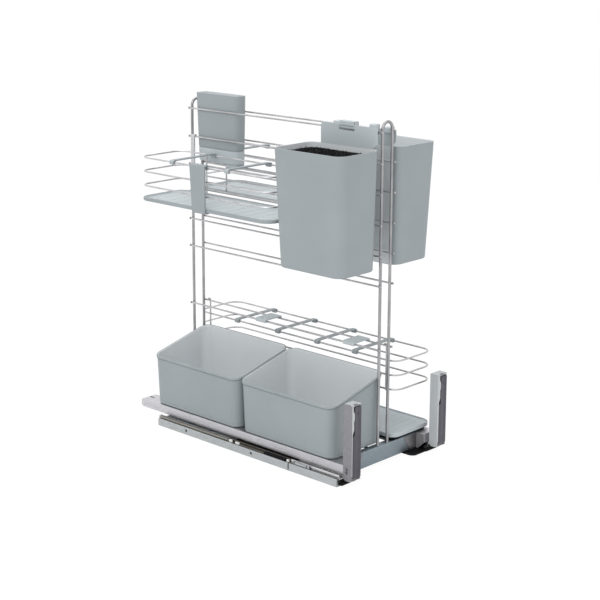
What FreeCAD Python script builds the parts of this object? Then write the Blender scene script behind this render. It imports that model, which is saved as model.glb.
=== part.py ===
import FreeCAD, Part
import math
import os

# Pull-out kitchen basket: a wire frame on two full-extension runners, hung with baskets,
# bins and a slim holder, with two tubs and a bottle tray standing on its base.
# Millimetres. +Z is up, -Y is the way it pulls out, +X is to the right seen from the front.
# The origin is on the cabinet floor, in the middle of the closed unit's footprint.

# The two sizes that most places follow: the whole width, and the height of the top wires
UNIT_WIDTH = 264.0
TOP_WIRE_Z = 556.0

# Wire stock and the clearances between pieces
ROD_D = 5.0
WIRE_D = 3.0
FLOOR_WIRE_D = 4.0
WELD_GAP = 0.05
SEAT_GAP = 0.3
SHEET = 1.5
HOOK_GAP = 0.3
CUT_PAST = 1.0

# Central frame
FRONT_HOOP_Y = -218.0
HOOP_SPACING = 440.0
HOOP_LEG_SPACING = 24.0
HOOP_RISE = 18.5
WIRE_PITCH = 50.0
UPPER_LEVELS = 6
LOW_WIRE_DROP = 357.0
WIRE_STUB = 4.6

# Base frame
RAIL_INSET = 14.0
RAIL_WIDTH = 32.0
RAIL_BOTTOM_Z = 19.0
RAIL_TOP_Z = 34.0
RAIL_REAR_Y = 256.0
RAIL_END_R = 8.0
RAIL_SLOT_L = 12.0
RAIL_SLOT_W = 4.0
RAIL_SLOT_INSET = 16.0
CROSSBAR_BOTTOM_Z = 6.5
CROSSBAR_SHEET = 2.0
CROSSBAR_FLANGE = 12.0
CROSSBAR_FRONT_LIP = 3.0
FLOOR_WIRE_XS = (26.0, 50.0, 74.0)

# Door brackets
BRACKET_BEYOND_RAIL = 4.5
BRACKET_WIDTH = 24.5
BRACKET_DEPTH = 17.0
BRACKET_SETTING = 18.0
BRACKET_BOTTOM_Z = 11.0
BRACKET_TOP_Z = 139.0
BRACKET_SHEET = 2.0
TONGUE_LENGTH = 12.0
PLATE_SHEET = 2.0
PLATE_MARGIN = 2.2
PLATE_SETTING = 2.5
PLATE_HOLE_D = 4.4
PLATE_HOLE_SPACING = 96.0
SCREW_D = 5.0
SCREW_HEAD_D = 8.0
SCREW_HEAD_H = 2.2
BRACKET_SCREW_ZS = (24.0, 30.0)

# Runners
RUNNER_WIDTH = 34.0
RUNNER_SETBACK = 5.0
RUNNER_LENGTH = 425.0
RUNNER_FLANGE_H = 13.5
RUNNER_INNER_H = 8.0
RUNNER_STEP = 3.0
CAGE_PLATE = 1.2
ROLLER_D = 3.2
ROLLER_COUNT = 6
CAGE_LENGTH = 170.0
CAGE_SETBACK = 127.0
MIDDLE_TALL_Z = 17.5
MIDDLE_TALL_LENGTH = 165.0
MIDDLE_LOW_H = 4.5
DRAWER_LIP_Z = 18.3
SCREW_HOLE_D = 4.5
SCREW_HOLE_Z = 7.5
SCREW_HOLE_INSET = 192.0
SCREW_HOLE_SPACING = 160.0

# Release levers under the front crossbar
LEVER_BOTTOM_Z = 1.5
LEVER_TOP_Z = 6.0
LEVER_REACH = 43.0
LEVER_TIP_INSET = 6.0
LEVER_GRIP = 5.0
LEVER_CLEAR = 1.0
LEVER_LENGTH = 34.0
LEVER_PIN_D = 4.0
LEVER_PIN_REACH = 26.0
LEVER_PIN_INSET = 4.0
LEVER_BLOCK_H = 11.0
LEVER_BLOCK_L = 22.0
LEVER_BLOCK_W = 13.0

# Wire baskets: both sizes share their width and their dividers
BASKET_BEYOND_RAIL = 1.0
BASKET_CORNER_R = 20.0
RING_PITCH = 24.8
UPPER_RING_DROP = 78.0
UPPER_LENGTH = 312.0
BASKET_BEHIND_BIN = 6.0
UPPER_WIRE_INSET = 69.0
BOTTLE_RING_DROP = 27.0
BOTTLE_FRONT_Y = -226.0
BOTTLE_REAR_Y = 246.0
HOOK_STRIP_W = 9.0
HOOK_STRIP_T = 2.0
HOOK_CURL = 135.0
UPPER_HOOK_INSETS = (21.0, 279.0)
BOTTLE_HOOK_INSET = 10.0

# Plastic tray, upright clip and dividers of the upper baskets
TRAY_SHEET = 2.0
TRAY_SKIRT = 1.5
TRAY_SINK = 2.4
CLIP_WIDTH = 37.0
CLIP_SHEET = 3.0
CLIP_INSET = 160.5
CLIP_OVER = 3.0
DIVIDER_WIDTH = 9.0
DIVIDER_SHEET = 3.0
DIVIDER_CLIP_D = 8.0
DIVIDER_SLIT = 2.4
LEFT_DIVIDER_INSETS = (93.0, 227.0)
RIGHT_DIVIDER_INSETS = (93.0, 233.0)
BOTTLE_DIVIDER_YS = (-137.0, -51.0, 43.0, 144.0)

# Saddle clips over the frame's lowest wires
SADDLE_WIDTH = 24.0
SADDLE_SHEET = 3.0
SADDLE_LEG = 2.0
SADDLE_YS = (-159.0, 44.0)

# Tall bins
BIN_RIM_DROP = 26.5
BIN_DEPTH = 196.0
BIN_FRONT_Y = -226.0
BIN_LENGTH = 150.0
BIN_INNER_X = 22.5
BIN_BEYOND_RAIL = 3.0
BIN_CORNER_R = 18.0
BIN_WALL = 2.2
BIN_OUTER_DRAFT = 9.0
BIN_END_DRAFT = 6.0
BIN_FOOT_R = 3.0
HANGER_SHEET = 2.2
HANGER_INSETS = (9.0, 22.0)
LEFT_HANGER_RISE = 8.0
LEFT_TAB_RISE = 13.5
LEFT_TAB_OFFSET = 54.0
RIGHT_HANGER_RISE = -1.5
RIGHT_TAB_RISE = 5.3
RIGHT_TAB_OFFSET = 96.0
TAB_LENGTH = 38.0
END_TAB_LENGTH = 12.0
TAB_LEG_DROP = 4.0
TAB_LEG_T = 2.0
WINDOW_LENGTH = 26.0
WINDOW_H = 7.0
INSERT_TOP_DROP = 6.0
INSERT_FLOOR_RISE = 8.5
INSERT_GAP = 0.8
INSERT_WALL = 1.6
BRISTLE_RISE = 3.0

# Slim holder between the frame's wires
HOLDER_RISE = 29.0
HOLDER_DEPTH = 121.0
HOLDER_FRONT_Y = 109.0
HOLDER_REAR_Y = 210.0
HOLDER_HALF_X = 13.0
HOLDER_FRONT_R = 11.0
HOLDER_REAR_R = 4.0
HOLDER_WALL = 1.8
HOLDER_DRAFT = 6.0
HOLDER_HOOK_L = 15.0
HOLDER_HOOK_INSET = 14.0

# Tubs
TUB_FRONT_Y = -213.0
TUB_LENGTH = 211.5
TUB_SPACING = 216.0
TUB_BEYOND_RAIL = 2.0
TUB_PAST_MIDDLE = 10.0
TUB_LOW_RIM_Z = 123.0
TUB_HIGH_RIM_Z = 155.5
TUB_CORNER_R = 17.0
TUB_WALL = 2.2
TUB_DRAFT = 2.5
TUB_LIP = 1.8
TUB_LIP_H = 4.0

# Bottle tray on the base
MAT_INNER_X = 20.0
MAT_BEYOND_RAIL = 3.0
MAT_FRONT_Y = -224.0
MAT_REAR_Y = 226.0
MAT_TOP_Z = 44.0
MAT_SHEET = 2.5
MAT_CORNER_R = 18.0

# Places that follow from the sizes above
REAR_HOOP_Y = FRONT_HOOP_Y + HOOP_SPACING
HOOP_TOP_Z = TOP_WIRE_Z + HOOP_RISE
LOW_WIRE_Z = TOP_WIRE_Z - LOW_WIRE_DROP
LEG_X = HOOP_LEG_SPACING / 2
WIRE_X = LEG_X + ROD_D / 2 + WELD_GAP + WIRE_D / 2
HOOK_WIRE_Z = TOP_WIRE_Z - WIRE_PITCH
RUNNER_OUTER_X = UNIT_WIDTH / 2
RAIL_OUTER_X = RUNNER_OUTER_X - RAIL_INSET
RAIL_INNER_X = RAIL_OUTER_X - RAIL_WIDTH
FRONT_BAR_Y = FRONT_HOOP_Y - CROSSBAR_FRONT_LIP
REAR_BAR_Y = REAR_HOOP_Y + CROSSBAR_FRONT_LIP
FLOOR_Z = RAIL_TOP_Z + SEAT_GAP
BRACKET_OUTER_X = RAIL_OUTER_X + BRACKET_BEYOND_RAIL
BRACKET_INNER_X = BRACKET_OUTER_X - BRACKET_WIDTH
BRACKET_REAR_Y = FRONT_BAR_Y - BRACKET_SETTING
BRACKET_FRONT_Y = BRACKET_REAR_Y - BRACKET_DEPTH
RUNNER_FRONT_Y = BRACKET_REAR_Y + RUNNER_SETBACK
RUNNER_REAR_Y = RUNNER_FRONT_Y + RUNNER_LENGTH
RUNNER_INNER_X = RUNNER_OUTER_X - RUNNER_WIDTH
CAGE_FRONT_Y = RUNNER_FRONT_Y + CAGE_SETBACK
LEVER_FRONT_Y = RUNNER_FRONT_Y - LEVER_CLEAR - LEVER_GRIP
LEVER_REAR_Y = LEVER_FRONT_Y + LEVER_LENGTH
LEVER_PIN_Y = LEVER_REAR_Y - LEVER_PIN_INSET
LEVER_PIN_X = RUNNER_INNER_X - LEVER_PIN_REACH
LEVER_INNER_X = RUNNER_INNER_X - LEVER_REACH
LEVER_TIP_X = RUNNER_OUTER_X - LEVER_TIP_INSET
HOOK_INNER_R = WIRE_D / 2 + HOOK_GAP
STRIP_OUTER_X = WIRE_X + HOOK_INNER_R + HOOK_STRIP_T
UPPER_INNER_X = STRIP_OUTER_X + WELD_GAP + WIRE_D / 2
BOTTLE_INNER_X = WIRE_X + HOOK_INNER_R + WIRE_D / 2 + WELD_GAP + WIRE_D
BASKET_OUTER_X = RAIL_OUTER_X + BASKET_BEYOND_RAIL
UPPER_FRONT_Y = BIN_FRONT_Y + BIN_LENGTH + BASKET_BEHIND_BIN
UPPER_REAR_Y = UPPER_FRONT_Y + UPPER_LENGTH
BOTTLE_HOOK_YS = (FRONT_HOOP_Y + BOTTLE_HOOK_INSET, REAR_HOOP_Y - BOTTLE_HOOK_INSET)
CLIP_CENTRE_Y = UPPER_FRONT_Y + CLIP_INSET
HOLDER_TOP_Z = TOP_WIRE_Z + HOLDER_RISE
HOLDER_FLOOR_Z = HOLDER_TOP_Z - HOLDER_DEPTH
UPPER_RING_Z = TOP_WIRE_Z - UPPER_RING_DROP
BOTTLE_RING_Z = LOW_WIRE_Z - BOTTLE_RING_DROP
UPPER_LOW_RING_Z = UPPER_RING_Z - 3 * RING_PITCH
TRAY_TOP_Z = UPPER_LOW_RING_Z + WIRE_D / 2 + SEAT_GAP + TRAY_SHEET
TRAY_UNDER_Z = UPPER_LOW_RING_Z - WIRE_D / 2
TRAY_OUTER_X = BASKET_OUTER_X + WIRE_D / 2 + SEAT_GAP + TRAY_SKIRT
BIN_OUTER_X = RAIL_OUTER_X + BIN_BEYOND_RAIL
BIN_RIM_Z = TOP_WIRE_Z - BIN_RIM_DROP
BIN_FLOOR_Z = BIN_RIM_Z - BIN_DEPTH
INSERT_FLOOR_Z = BIN_FLOOR_Z + INSERT_FLOOR_RISE
TUB_OUTER_X = RAIL_OUTER_X + TUB_BEYOND_RAIL
MAT_OUTER_X = RAIL_OUTER_X + MAT_BEYOND_RAIL


def vec(x, y, z):
    return FreeCAD.Vector(x, y, z)


def block(x0, x1, y0, y1, z0, z1):
    return Part.makeBox(x1 - x0, y1 - y0, z1 - z0, vec(x0, y0, z0))


def rod(start, end, dia):
    along = vec(*end) - vec(*start)
    return Part.makeCylinder(dia / 2, along.Length, vec(*start), along)


def mirrored(shape):
    return shape.mirror(vec(0, 0, 0), vec(1, 0, 0))


def rounded_points(points, bend, closed):
    """Edges of a polyline whose corners are rounded to the bend radius."""
    pts = [vec(*p) for p in points]
    count = len(pts)
    corners = range(count) if closed else range(1, count - 1)
    cut = {}
    for i in corners:
        here = pts[i]
        back = (pts[i - 1] - here).normalize()
        ahead = (pts[(i + 1) % count] - here).normalize()
        half = back.getAngle(ahead) / 2
        reach = bend / math.tan(half)
        middle = (back + ahead).normalize() * (bend / math.sin(half))
        arc_mid = here + middle - (back + ahead).normalize() * bend
        cut[i] = (here + back * reach, arc_mid, here + ahead * reach)
    edges = []
    last = count if closed else count - 1
    for i in range(last):
        j = (i + 1) % count
        start = cut[i][2] if i in cut else pts[i]
        end = cut[j][0] if j in cut else pts[j]
        if (end - start).Length > 1e-6:
            edges.append(Part.LineSegment(start, end).toShape())
        if j in cut:
            edges.append(Part.Arc(*cut[j]).toShape())
    return edges


def bent_wire(points, bend, dia, closed=False):
    """A round wire along a polyline with rounded bends."""
    edges = rounded_points(points, bend, closed)
    path = Part.Wire(edges)
    first = edges[0]
    start = first.valueAt(first.FirstParameter)
    along = first.tangentAt(first.FirstParameter)
    profile = Part.Wire(Part.Circle(start, along, dia / 2).toShape())
    return path.makePipeShell([profile], True, False)


def loop(x0, x1, y0, y1, z, r):
    """A level rounded rectangle as a closed wire."""
    corners = ((x0, y0, z), (x1, y0, z), (x1, y1, z), (x0, y1, z))
    return Part.Wire(rounded_points(corners, r, True))


def plate(x0, x1, y0, y1, z0, z1, r):
    face = Part.Face(loop(x0, x1, y0, y1, z0, r))
    return face.extrude(vec(0, 0, z1 - z0))


def profile_along_y(points, y0, y1):
    """A straight sheet profile: points are (x, z), pulled from y0 to y1."""
    outline = [vec(x, y0, z) for x, z in points]
    face = Part.Face(Part.makePolygon(outline + outline[:1]))
    return face.extrude(vec(0, y1 - y0, 0))


def save(node, *solids):
    shape = solids[0] if len(solids) == 1 else Part.Compound(list(solids))
    shape.exportStep(f"parts/{node}.step")


def save_pair(node, build):
    """A right-hand piece and its mirror image on the left."""
    solids = build()
    save(f"{node}_right", *solids)
    save(f"{node}_left", *[mirrored(s) for s in solids])


# Central frame: two inverted-U hoops and the lengthwise wires welded to their outer sides
def hoop(y):
    foot = RAIL_TOP_Z
    top = HOOP_TOP_Z - ROD_D / 2
    straight = top - LEG_X
    left = Part.LineSegment(vec(-LEG_X, y, foot), vec(-LEG_X, y, straight)).toShape()
    bend = Part.Arc(vec(-LEG_X, y, straight), vec(0, y, top), vec(LEG_X, y, straight)).toShape()
    right = Part.LineSegment(vec(LEG_X, y, straight), vec(LEG_X, y, foot)).toShape()
    profile = Part.Wire(Part.Circle(vec(-LEG_X, y, foot), vec(0, 0, 1), ROD_D / 2).toShape())
    return Part.Wire([left, bend, right]).makePipeShell([profile], True, False)


def frame_wires():
    levels = [TOP_WIRE_Z - WIRE_PITCH * i for i in range(UPPER_LEVELS)] + [LOW_WIRE_Z]
    start = FRONT_HOOP_Y - WIRE_STUB
    end = REAR_HOOP_Y + WIRE_STUB
    return [rod((WIRE_X, start, z), (WIRE_X, end, z), WIRE_D) for z in levels]


# Base frame: pressed side rails, angle crossbars and floor wires
def side_rail():
    body = block(RAIL_INNER_X, RAIL_OUTER_X, BRACKET_FRONT_Y, RAIL_REAR_Y, RAIL_BOTTOM_Z, RAIL_TOP_Z)
    rear = [
        e for e in body.Edges
        if abs(e.CenterOfMass.y - RAIL_REAR_Y) < SHEET and e.CenterOfMass.z > RAIL_BOTTOM_Z + SHEET
    ]
    body = body.makeFillet(RAIL_END_R, rear)
    hollow = block(
        RAIL_INNER_X + SHEET, RAIL_OUTER_X - SHEET,
        BRACKET_FRONT_Y, RAIL_REAR_Y - RAIL_END_R - SHEET,
        RAIL_BOTTOM_Z, RAIL_TOP_Z - SHEET,
    )
    slot_x = (RAIL_INNER_X + RAIL_OUTER_X) / 2
    slot_y = RAIL_REAR_Y - RAIL_SLOT_INSET
    slot = block(
        slot_x - RAIL_SLOT_W / 2, slot_x + RAIL_SLOT_W / 2,
        slot_y - RAIL_SLOT_L / 2, slot_y + RAIL_SLOT_L / 2,
        RAIL_TOP_Z - SHEET, RAIL_TOP_Z,
    )
    body = body.cut(hollow).cut(slot)
    # Only a tongue of the rail goes on into the door bracket
    tongue_inner = BRACKET_INNER_X + BRACKET_SHEET + SEAT_GAP
    beside = block(
        RAIL_INNER_X, tongue_inner, BRACKET_FRONT_Y, BRACKET_REAR_Y + WELD_GAP,
        RAIL_BOTTOM_Z, RAIL_TOP_Z,
    )
    front = block(
        RAIL_INNER_X, RAIL_OUTER_X, BRACKET_FRONT_Y, BRACKET_REAR_Y - TONGUE_LENGTH,
        RAIL_BOTTOM_Z, RAIL_TOP_Z,
    )
    return [body.cut(beside).cut(front)]


def crossbar(face_y, inwards):
    """An angle between the side rails; inwards is +1 for the front bar, -1 for the rear."""
    web_y = sorted((face_y, face_y + inwards * CROSSBAR_SHEET))
    flange_y = sorted((face_y, face_y + inwards * CROSSBAR_FLANGE))
    web = block(
        -RAIL_INNER_X, RAIL_INNER_X, web_y[0], web_y[1], CROSSBAR_BOTTOM_Z, RAIL_TOP_Z
    )
    flange = block(
        -RAIL_INNER_X, RAIL_INNER_X, flange_y[0], flange_y[1],
        RAIL_TOP_Z - CROSSBAR_SHEET, RAIL_TOP_Z,
    )
    return web.fuse(flange).removeSplitter()


def floor_wires():
    z = RAIL_TOP_Z - FLOOR_WIRE_D / 2
    start = FRONT_BAR_Y + CROSSBAR_FLANGE
    end = REAR_BAR_Y - CROSSBAR_FLANGE
    return [
        rod((side * x, start, z), (side * x, end, z), FLOOR_WIRE_D)
        for side in (-1, 1) for x in FLOOR_WIRE_XS
    ]


# Door brackets: an upright channel with end caps, and a front plate that the door screws to
def door_bracket():
    outer = block(
        BRACKET_INNER_X, BRACKET_OUTER_X, BRACKET_FRONT_Y, BRACKET_REAR_Y,
        BRACKET_BOTTOM_Z, BRACKET_TOP_Z,
    )
    hollow = block(
        BRACKET_INNER_X + BRACKET_SHEET, BRACKET_OUTER_X - BRACKET_SHEET,
        BRACKET_FRONT_Y + PLATE_SHEET + SEAT_GAP + BRACKET_SHEET, BRACKET_REAR_Y,
        BRACKET_BOTTOM_Z + BRACKET_SHEET, BRACKET_TOP_Z - BRACKET_SHEET,
    )
    recess = block(
        BRACKET_INNER_X + PLATE_MARGIN - SEAT_GAP, BRACKET_OUTER_X - PLATE_MARGIN + SEAT_GAP,
        BRACKET_FRONT_Y, BRACKET_FRONT_Y + PLATE_SHEET + SEAT_GAP,
        BRACKET_BOTTOM_Z + BRACKET_SHEET, BRACKET_TOP_Z - BRACKET_SHEET,
    )
    body = outer.cut(hollow).cut(recess)
    for z in BRACKET_SCREW_ZS:
        hole = rod((BRACKET_INNER_X, screw_y(), z), (BRACKET_OUTER_X, screw_y(), z), SCREW_D)
        body = body.cut(hole.common(block(
            RAIL_OUTER_X, BRACKET_OUTER_X, BRACKET_FRONT_Y, BRACKET_REAR_Y, 0, BRACKET_TOP_Z
        )))
    return [body]


def screw_y():
    return BRACKET_REAR_Y - TONGUE_LENGTH / 2


def door_plate():
    bottom = BRACKET_BOTTOM_Z + BRACKET_SHEET + PLATE_SETTING + SEAT_GAP
    top = BRACKET_TOP_Z - BRACKET_SHEET - PLATE_SETTING - SEAT_GAP
    body = block(
        BRACKET_INNER_X + PLATE_MARGIN, BRACKET_OUTER_X - PLATE_MARGIN,
        BRACKET_FRONT_Y, BRACKET_FRONT_Y + PLATE_SHEET, bottom, top,
    )
    x = (BRACKET_INNER_X + BRACKET_OUTER_X) / 2
    middle = (bottom + top) / 2
    for z in (middle - PLATE_HOLE_SPACING / 2, middle + PLATE_HOLE_SPACING / 2):
        hole = rod((x, BRACKET_FRONT_Y, z), (x, BRACKET_FRONT_Y + PLATE_SHEET, z), PLATE_HOLE_D)
        body = body.cut(hole)
    return [body]


def bracket_screws():
    """Two screws through each bracket's side into the rail's tongue."""
    screws = []
    for z in BRACKET_SCREW_ZS:
        head = rod(
            (BRACKET_OUTER_X, screw_y(), z), (BRACKET_OUTER_X + SCREW_HEAD_H, screw_y(), z),
            SCREW_HEAD_D - (BRACKET_SCREW_ZS[1] - BRACKET_SCREW_ZS[0]) / 2,
        )
        shank = rod(
            (RAIL_OUTER_X + WELD_GAP, screw_y(), z), (BRACKET_OUTER_X, screw_y(), z),
            SCREW_D - 2 * WELD_GAP,
        )
        screws.append(head.fuse(shank))
    return screws


# Runners: cabinet, middle and drawer members, with a roller cage between each pair
CAGE_LOW_Z = SHEET + SEAT_GAP
MIDDLE_Z = CAGE_LOW_Z + ROLLER_D + SEAT_GAP
CAGE_HIGH_Z = MIDDLE_Z + SHEET + SEAT_GAP
DRAWER_Z = CAGE_HIGH_Z + ROLLER_D + SEAT_GAP
MIDDLE_INNER_X = RUNNER_INNER_X + RUNNER_STEP
MIDDLE_OUTER_X = RUNNER_OUTER_X - RUNNER_STEP
DRAWER_INNER_X = MIDDLE_INNER_X + RUNNER_STEP
DRAWER_OUTER_X = MIDDLE_OUTER_X - RUNNER_STEP


def cabinet_rail():
    points = (
        (RUNNER_INNER_X, 0), (RUNNER_OUTER_X, 0), (RUNNER_OUTER_X, RUNNER_FLANGE_H),
        (RUNNER_OUTER_X - SHEET, RUNNER_FLANGE_H), (RUNNER_OUTER_X - SHEET, SHEET),
        (RUNNER_INNER_X + SHEET, SHEET), (RUNNER_INNER_X + SHEET, RUNNER_INNER_H),
        (RUNNER_INNER_X, RUNNER_INNER_H),
    )
    body = profile_along_y(points, RUNNER_FRONT_Y, RUNNER_REAR_Y)
    first = RUNNER_FRONT_Y + SCREW_HOLE_INSET
    for y in (first, first + SCREW_HOLE_SPACING):
        hole = rod(
            (RUNNER_OUTER_X - SHEET - CUT_PAST, y, SCREW_HOLE_Z),
            (RUNNER_OUTER_X + CUT_PAST, y, SCREW_HOLE_Z),
            SCREW_HOLE_D,
        )
        body = body.cut(hole)
    return [body]


def middle_rail():
    low_z = MIDDLE_Z + SHEET + MIDDLE_LOW_H
    points = (
        (MIDDLE_INNER_X, MIDDLE_Z), (MIDDLE_OUTER_X, MIDDLE_Z), (MIDDLE_OUTER_X, MIDDLE_TALL_Z),
        (MIDDLE_OUTER_X - SHEET, MIDDLE_TALL_Z), (MIDDLE_OUTER_X - SHEET, MIDDLE_Z + SHEET),
        (MIDDLE_INNER_X + SHEET, MIDDLE_Z + SHEET), (MIDDLE_INNER_X + SHEET, low_z),
        (MIDDLE_INNER_X, low_z),
    )
    body = profile_along_y(points, RUNNER_FRONT_Y, RUNNER_REAR_Y)
    cut_away = block(
        MIDDLE_OUTER_X - SHEET, MIDDLE_OUTER_X, RUNNER_FRONT_Y,
        RUNNER_REAR_Y - MIDDLE_TALL_LENGTH, low_z, MIDDLE_TALL_Z,
    )
    return [body.cut(cut_away)]


def drawer_rail():
    """The member under the side rail: its web stands up inside the rail to the rail's top."""
    top = RAIL_TOP_Z - SHEET - WELD_GAP
    flange = RAIL_INNER_X + SHEET + SEAT_GAP
    points = (
        (DRAWER_INNER_X, DRAWER_Z), (DRAWER_OUTER_X, DRAWER_Z), (DRAWER_OUTER_X, DRAWER_LIP_Z),
        (DRAWER_OUTER_X - SHEET, DRAWER_LIP_Z), (DRAWER_OUTER_X - SHEET, DRAWER_Z + SHEET),
        (DRAWER_INNER_X + SHEET, DRAWER_Z + SHEET), (DRAWER_INNER_X + SHEET, top),
        (flange, top), (flange, top - SHEET), (DRAWER_INNER_X, top - SHEET),
    )
    return [profile_along_y(points, RUNNER_FRONT_Y, RUNNER_REAR_Y)]


def roller_cage(inner_x, outer_x, z):
    """A plastic strip with steel rollers lying across it in open pockets."""
    middle = z + ROLLER_D / 2
    strip = block(
        inner_x, outer_x, CAGE_FRONT_Y, CAGE_FRONT_Y + CAGE_LENGTH,
        middle - CAGE_PLATE / 2, middle + CAGE_PLATE / 2,
    )
    rollers = []
    pitch = CAGE_LENGTH / ROLLER_COUNT
    for i in range(ROLLER_COUNT):
        y = CAGE_FRONT_Y + pitch * (i + 0.5)
        inner, outer = inner_x + RUNNER_STEP, outer_x - RUNNER_STEP
        pocket = ROLLER_D / 2 + SEAT_GAP
        strip = strip.cut(block(
            inner - SEAT_GAP, outer + SEAT_GAP, y - pocket, y + pocket, z, z + ROLLER_D
        ))
        rollers.append(rod((inner, y, middle), (outer, y, middle), ROLLER_D))
    return [strip] + rollers


def lower_cage():
    inner = MIDDLE_INNER_X + SEAT_GAP
    outer = MIDDLE_OUTER_X - SEAT_GAP
    return roller_cage(inner, outer, CAGE_LOW_Z)


def upper_cage():
    inner = DRAWER_INNER_X + SEAT_GAP
    outer = DRAWER_OUTER_X - SEAT_GAP
    return roller_cage(inner, outer, CAGE_HIGH_Z)


# Release levers: a block behind the crossbar carries the pin that the lever turns on
def lever_block():
    y0 = FRONT_BAR_Y + CROSSBAR_SHEET + WELD_GAP
    body = block(
        LEVER_PIN_X - LEVER_BLOCK_L / 2, LEVER_PIN_X + LEVER_BLOCK_L / 2,
        y0, y0 + LEVER_BLOCK_W, CROSSBAR_BOTTOM_Z, CROSSBAR_BOTTOM_Z + LEVER_BLOCK_H,
    )
    pin = rod(
        (LEVER_PIN_X, LEVER_PIN_Y, LEVER_BOTTOM_Z), (LEVER_PIN_X, LEVER_PIN_Y, CROSSBAR_BOTTOM_Z),
        LEVER_PIN_D,
    )
    return [body.fuse(pin).removeSplitter()]


def release_lever():
    arm_x = RUNNER_INNER_X - RUNNER_STEP
    arm = block(LEVER_INNER_X, arm_x, LEVER_FRONT_Y, LEVER_REAR_Y, LEVER_BOTTOM_Z, LEVER_TOP_Z)
    uprights = [e for e in arm.Edges if abs(e.Length - (LEVER_TOP_Z - LEVER_BOTTOM_Z)) < 0.01]
    arm = arm.makeFillet(LEVER_GRIP / 2, uprights)
    grip = block(
        arm_x - LEVER_GRIP, LEVER_TIP_X, LEVER_FRONT_Y, LEVER_FRONT_Y + LEVER_GRIP,
        LEVER_BOTTOM_Z, LEVER_TOP_Z,
    )
    bore = rod(
        (LEVER_PIN_X, LEVER_PIN_Y, 0), (LEVER_PIN_X, LEVER_PIN_Y, CROSSBAR_BOTTOM_Z),
        LEVER_PIN_D + 2 * WELD_GAP,
    )
    return [arm.fuse(grip).removeSplitter().cut(bore)]


# Wire baskets: closed rings, upright wires and hooks that turn on a frame wire
def ring(inner_x, front_y, rear_y, z):
    corners = (
        (inner_x, front_y, z), (BASKET_OUTER_X, front_y, z),
        (BASKET_OUTER_X, rear_y, z), (inner_x, rear_y, z),
    )
    return bent_wire(corners, BASKET_CORNER_R, WIRE_D, closed=True)


def strip_hook(y):
    """A flat strip welded outside the upper rings that curls over a frame wire."""
    y1 = y + HOOK_STRIP_W
    x0 = STRIP_OUTER_X - HOOK_STRIP_T
    strip = block(x0, STRIP_OUTER_X, y, y1, UPPER_RING_Z - RING_PITCH, HOOK_WIRE_Z)
    root = Part.makePlane(
        HOOK_STRIP_T, HOOK_STRIP_W, vec(x0, y, HOOK_WIRE_Z), vec(0, 0, 1), vec(1, 0, 0)
    )
    curl = root.revolve(vec(WIRE_X, y, HOOK_WIRE_Z), vec(0, -1, 0), HOOK_CURL)
    return strip.fuse(curl).removeSplitter()


def wire_hook(y, low_z):
    """A round wire, welded inside the bottle rings, that bends over the lowest frame wire."""
    bend = HOOK_INNER_R + WIRE_D / 2

    def on_curl(degrees):
        turn = math.radians(degrees)
        return vec(WIRE_X + bend * math.cos(turn), y, LOW_WIRE_Z + bend * math.sin(turn))
    foot = vec(WIRE_X + bend, y, low_z)
    straight = Part.LineSegment(foot, on_curl(0)).toShape()
    curl = Part.Arc(on_curl(0), on_curl(HOOK_CURL / 2), on_curl(HOOK_CURL)).toShape()
    profile = Part.Wire(Part.Circle(foot, vec(0, 0, 1), WIRE_D / 2).toShape())
    return Part.Wire([straight, curl]).makePipeShell([profile], True, False)


def stand_places():
    """Where the upper basket's two upright wires stand along Y."""
    return UPPER_REAR_Y - UPPER_WIRE_INSET, UPPER_FRONT_Y + BASKET_CORNER_R


def upper_basket():
    rings = [
        ring(UPPER_INNER_X, UPPER_FRONT_Y, UPPER_REAR_Y, UPPER_RING_Z - RING_PITCH * i)
        for i in range(4)
    ]
    x = UPPER_INNER_X + WIRE_D + WELD_GAP
    low, high = UPPER_LOW_RING_Z - WIRE_D / 2, UPPER_RING_Z + WIRE_D / 2
    stands = [rod((x, y, low), (x, y, high), WIRE_D) for y in stand_places()]
    hooks = [strip_hook(UPPER_FRONT_Y + inset) for inset in UPPER_HOOK_INSETS]
    return rings + stands + hooks


def bottle_basket():
    rings = [
        ring(BOTTLE_INNER_X, BOTTLE_FRONT_Y, BOTTLE_REAR_Y, BOTTLE_RING_Z - RING_PITCH * i)
        for i in range(3)
    ]
    low = BOTTLE_RING_Z - 2 * RING_PITCH - WIRE_D / 2
    hooks = [wire_hook(y, low) for y in BOTTLE_HOOK_YS]
    return rings + hooks


def around_ring(grow, z0, z1):
    """A plate with the outline of an upper ring's centre line, grown on every side."""
    return plate(
        UPPER_INNER_X - grow, BASKET_OUTER_X + grow, UPPER_FRONT_Y - grow, UPPER_REAR_Y + grow,
        z0, z1, BASKET_CORNER_R + grow,
    )


def upper_tray():
    """The basket's plastic floor: its rim arches over the lowest ring."""
    groove = WIRE_D / 2 + SEAT_GAP
    inside = groove + TRAY_SHEET
    tray = around_ring(groove + TRAY_SKIRT, TRAY_UNDER_Z, TRAY_TOP_Z)
    channel = around_ring(groove, TRAY_UNDER_Z, TRAY_TOP_Z - TRAY_SHEET)
    channel = channel.cut(around_ring(-groove, TRAY_UNDER_Z, TRAY_TOP_Z))
    tray = tray.cut(channel)
    tray = tray.cut(around_ring(-inside, TRAY_TOP_Z - TRAY_SINK, TRAY_TOP_Z))
    stand_x = UPPER_INNER_X + WIRE_D + WELD_GAP
    for y in stand_places():
        notch = block(
            UPPER_INNER_X, stand_x + groove, y - groove, y + groove, TRAY_UNDER_Z, TRAY_TOP_Z
        )
        tray = tray.cut(notch)
    return [tray]


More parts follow.
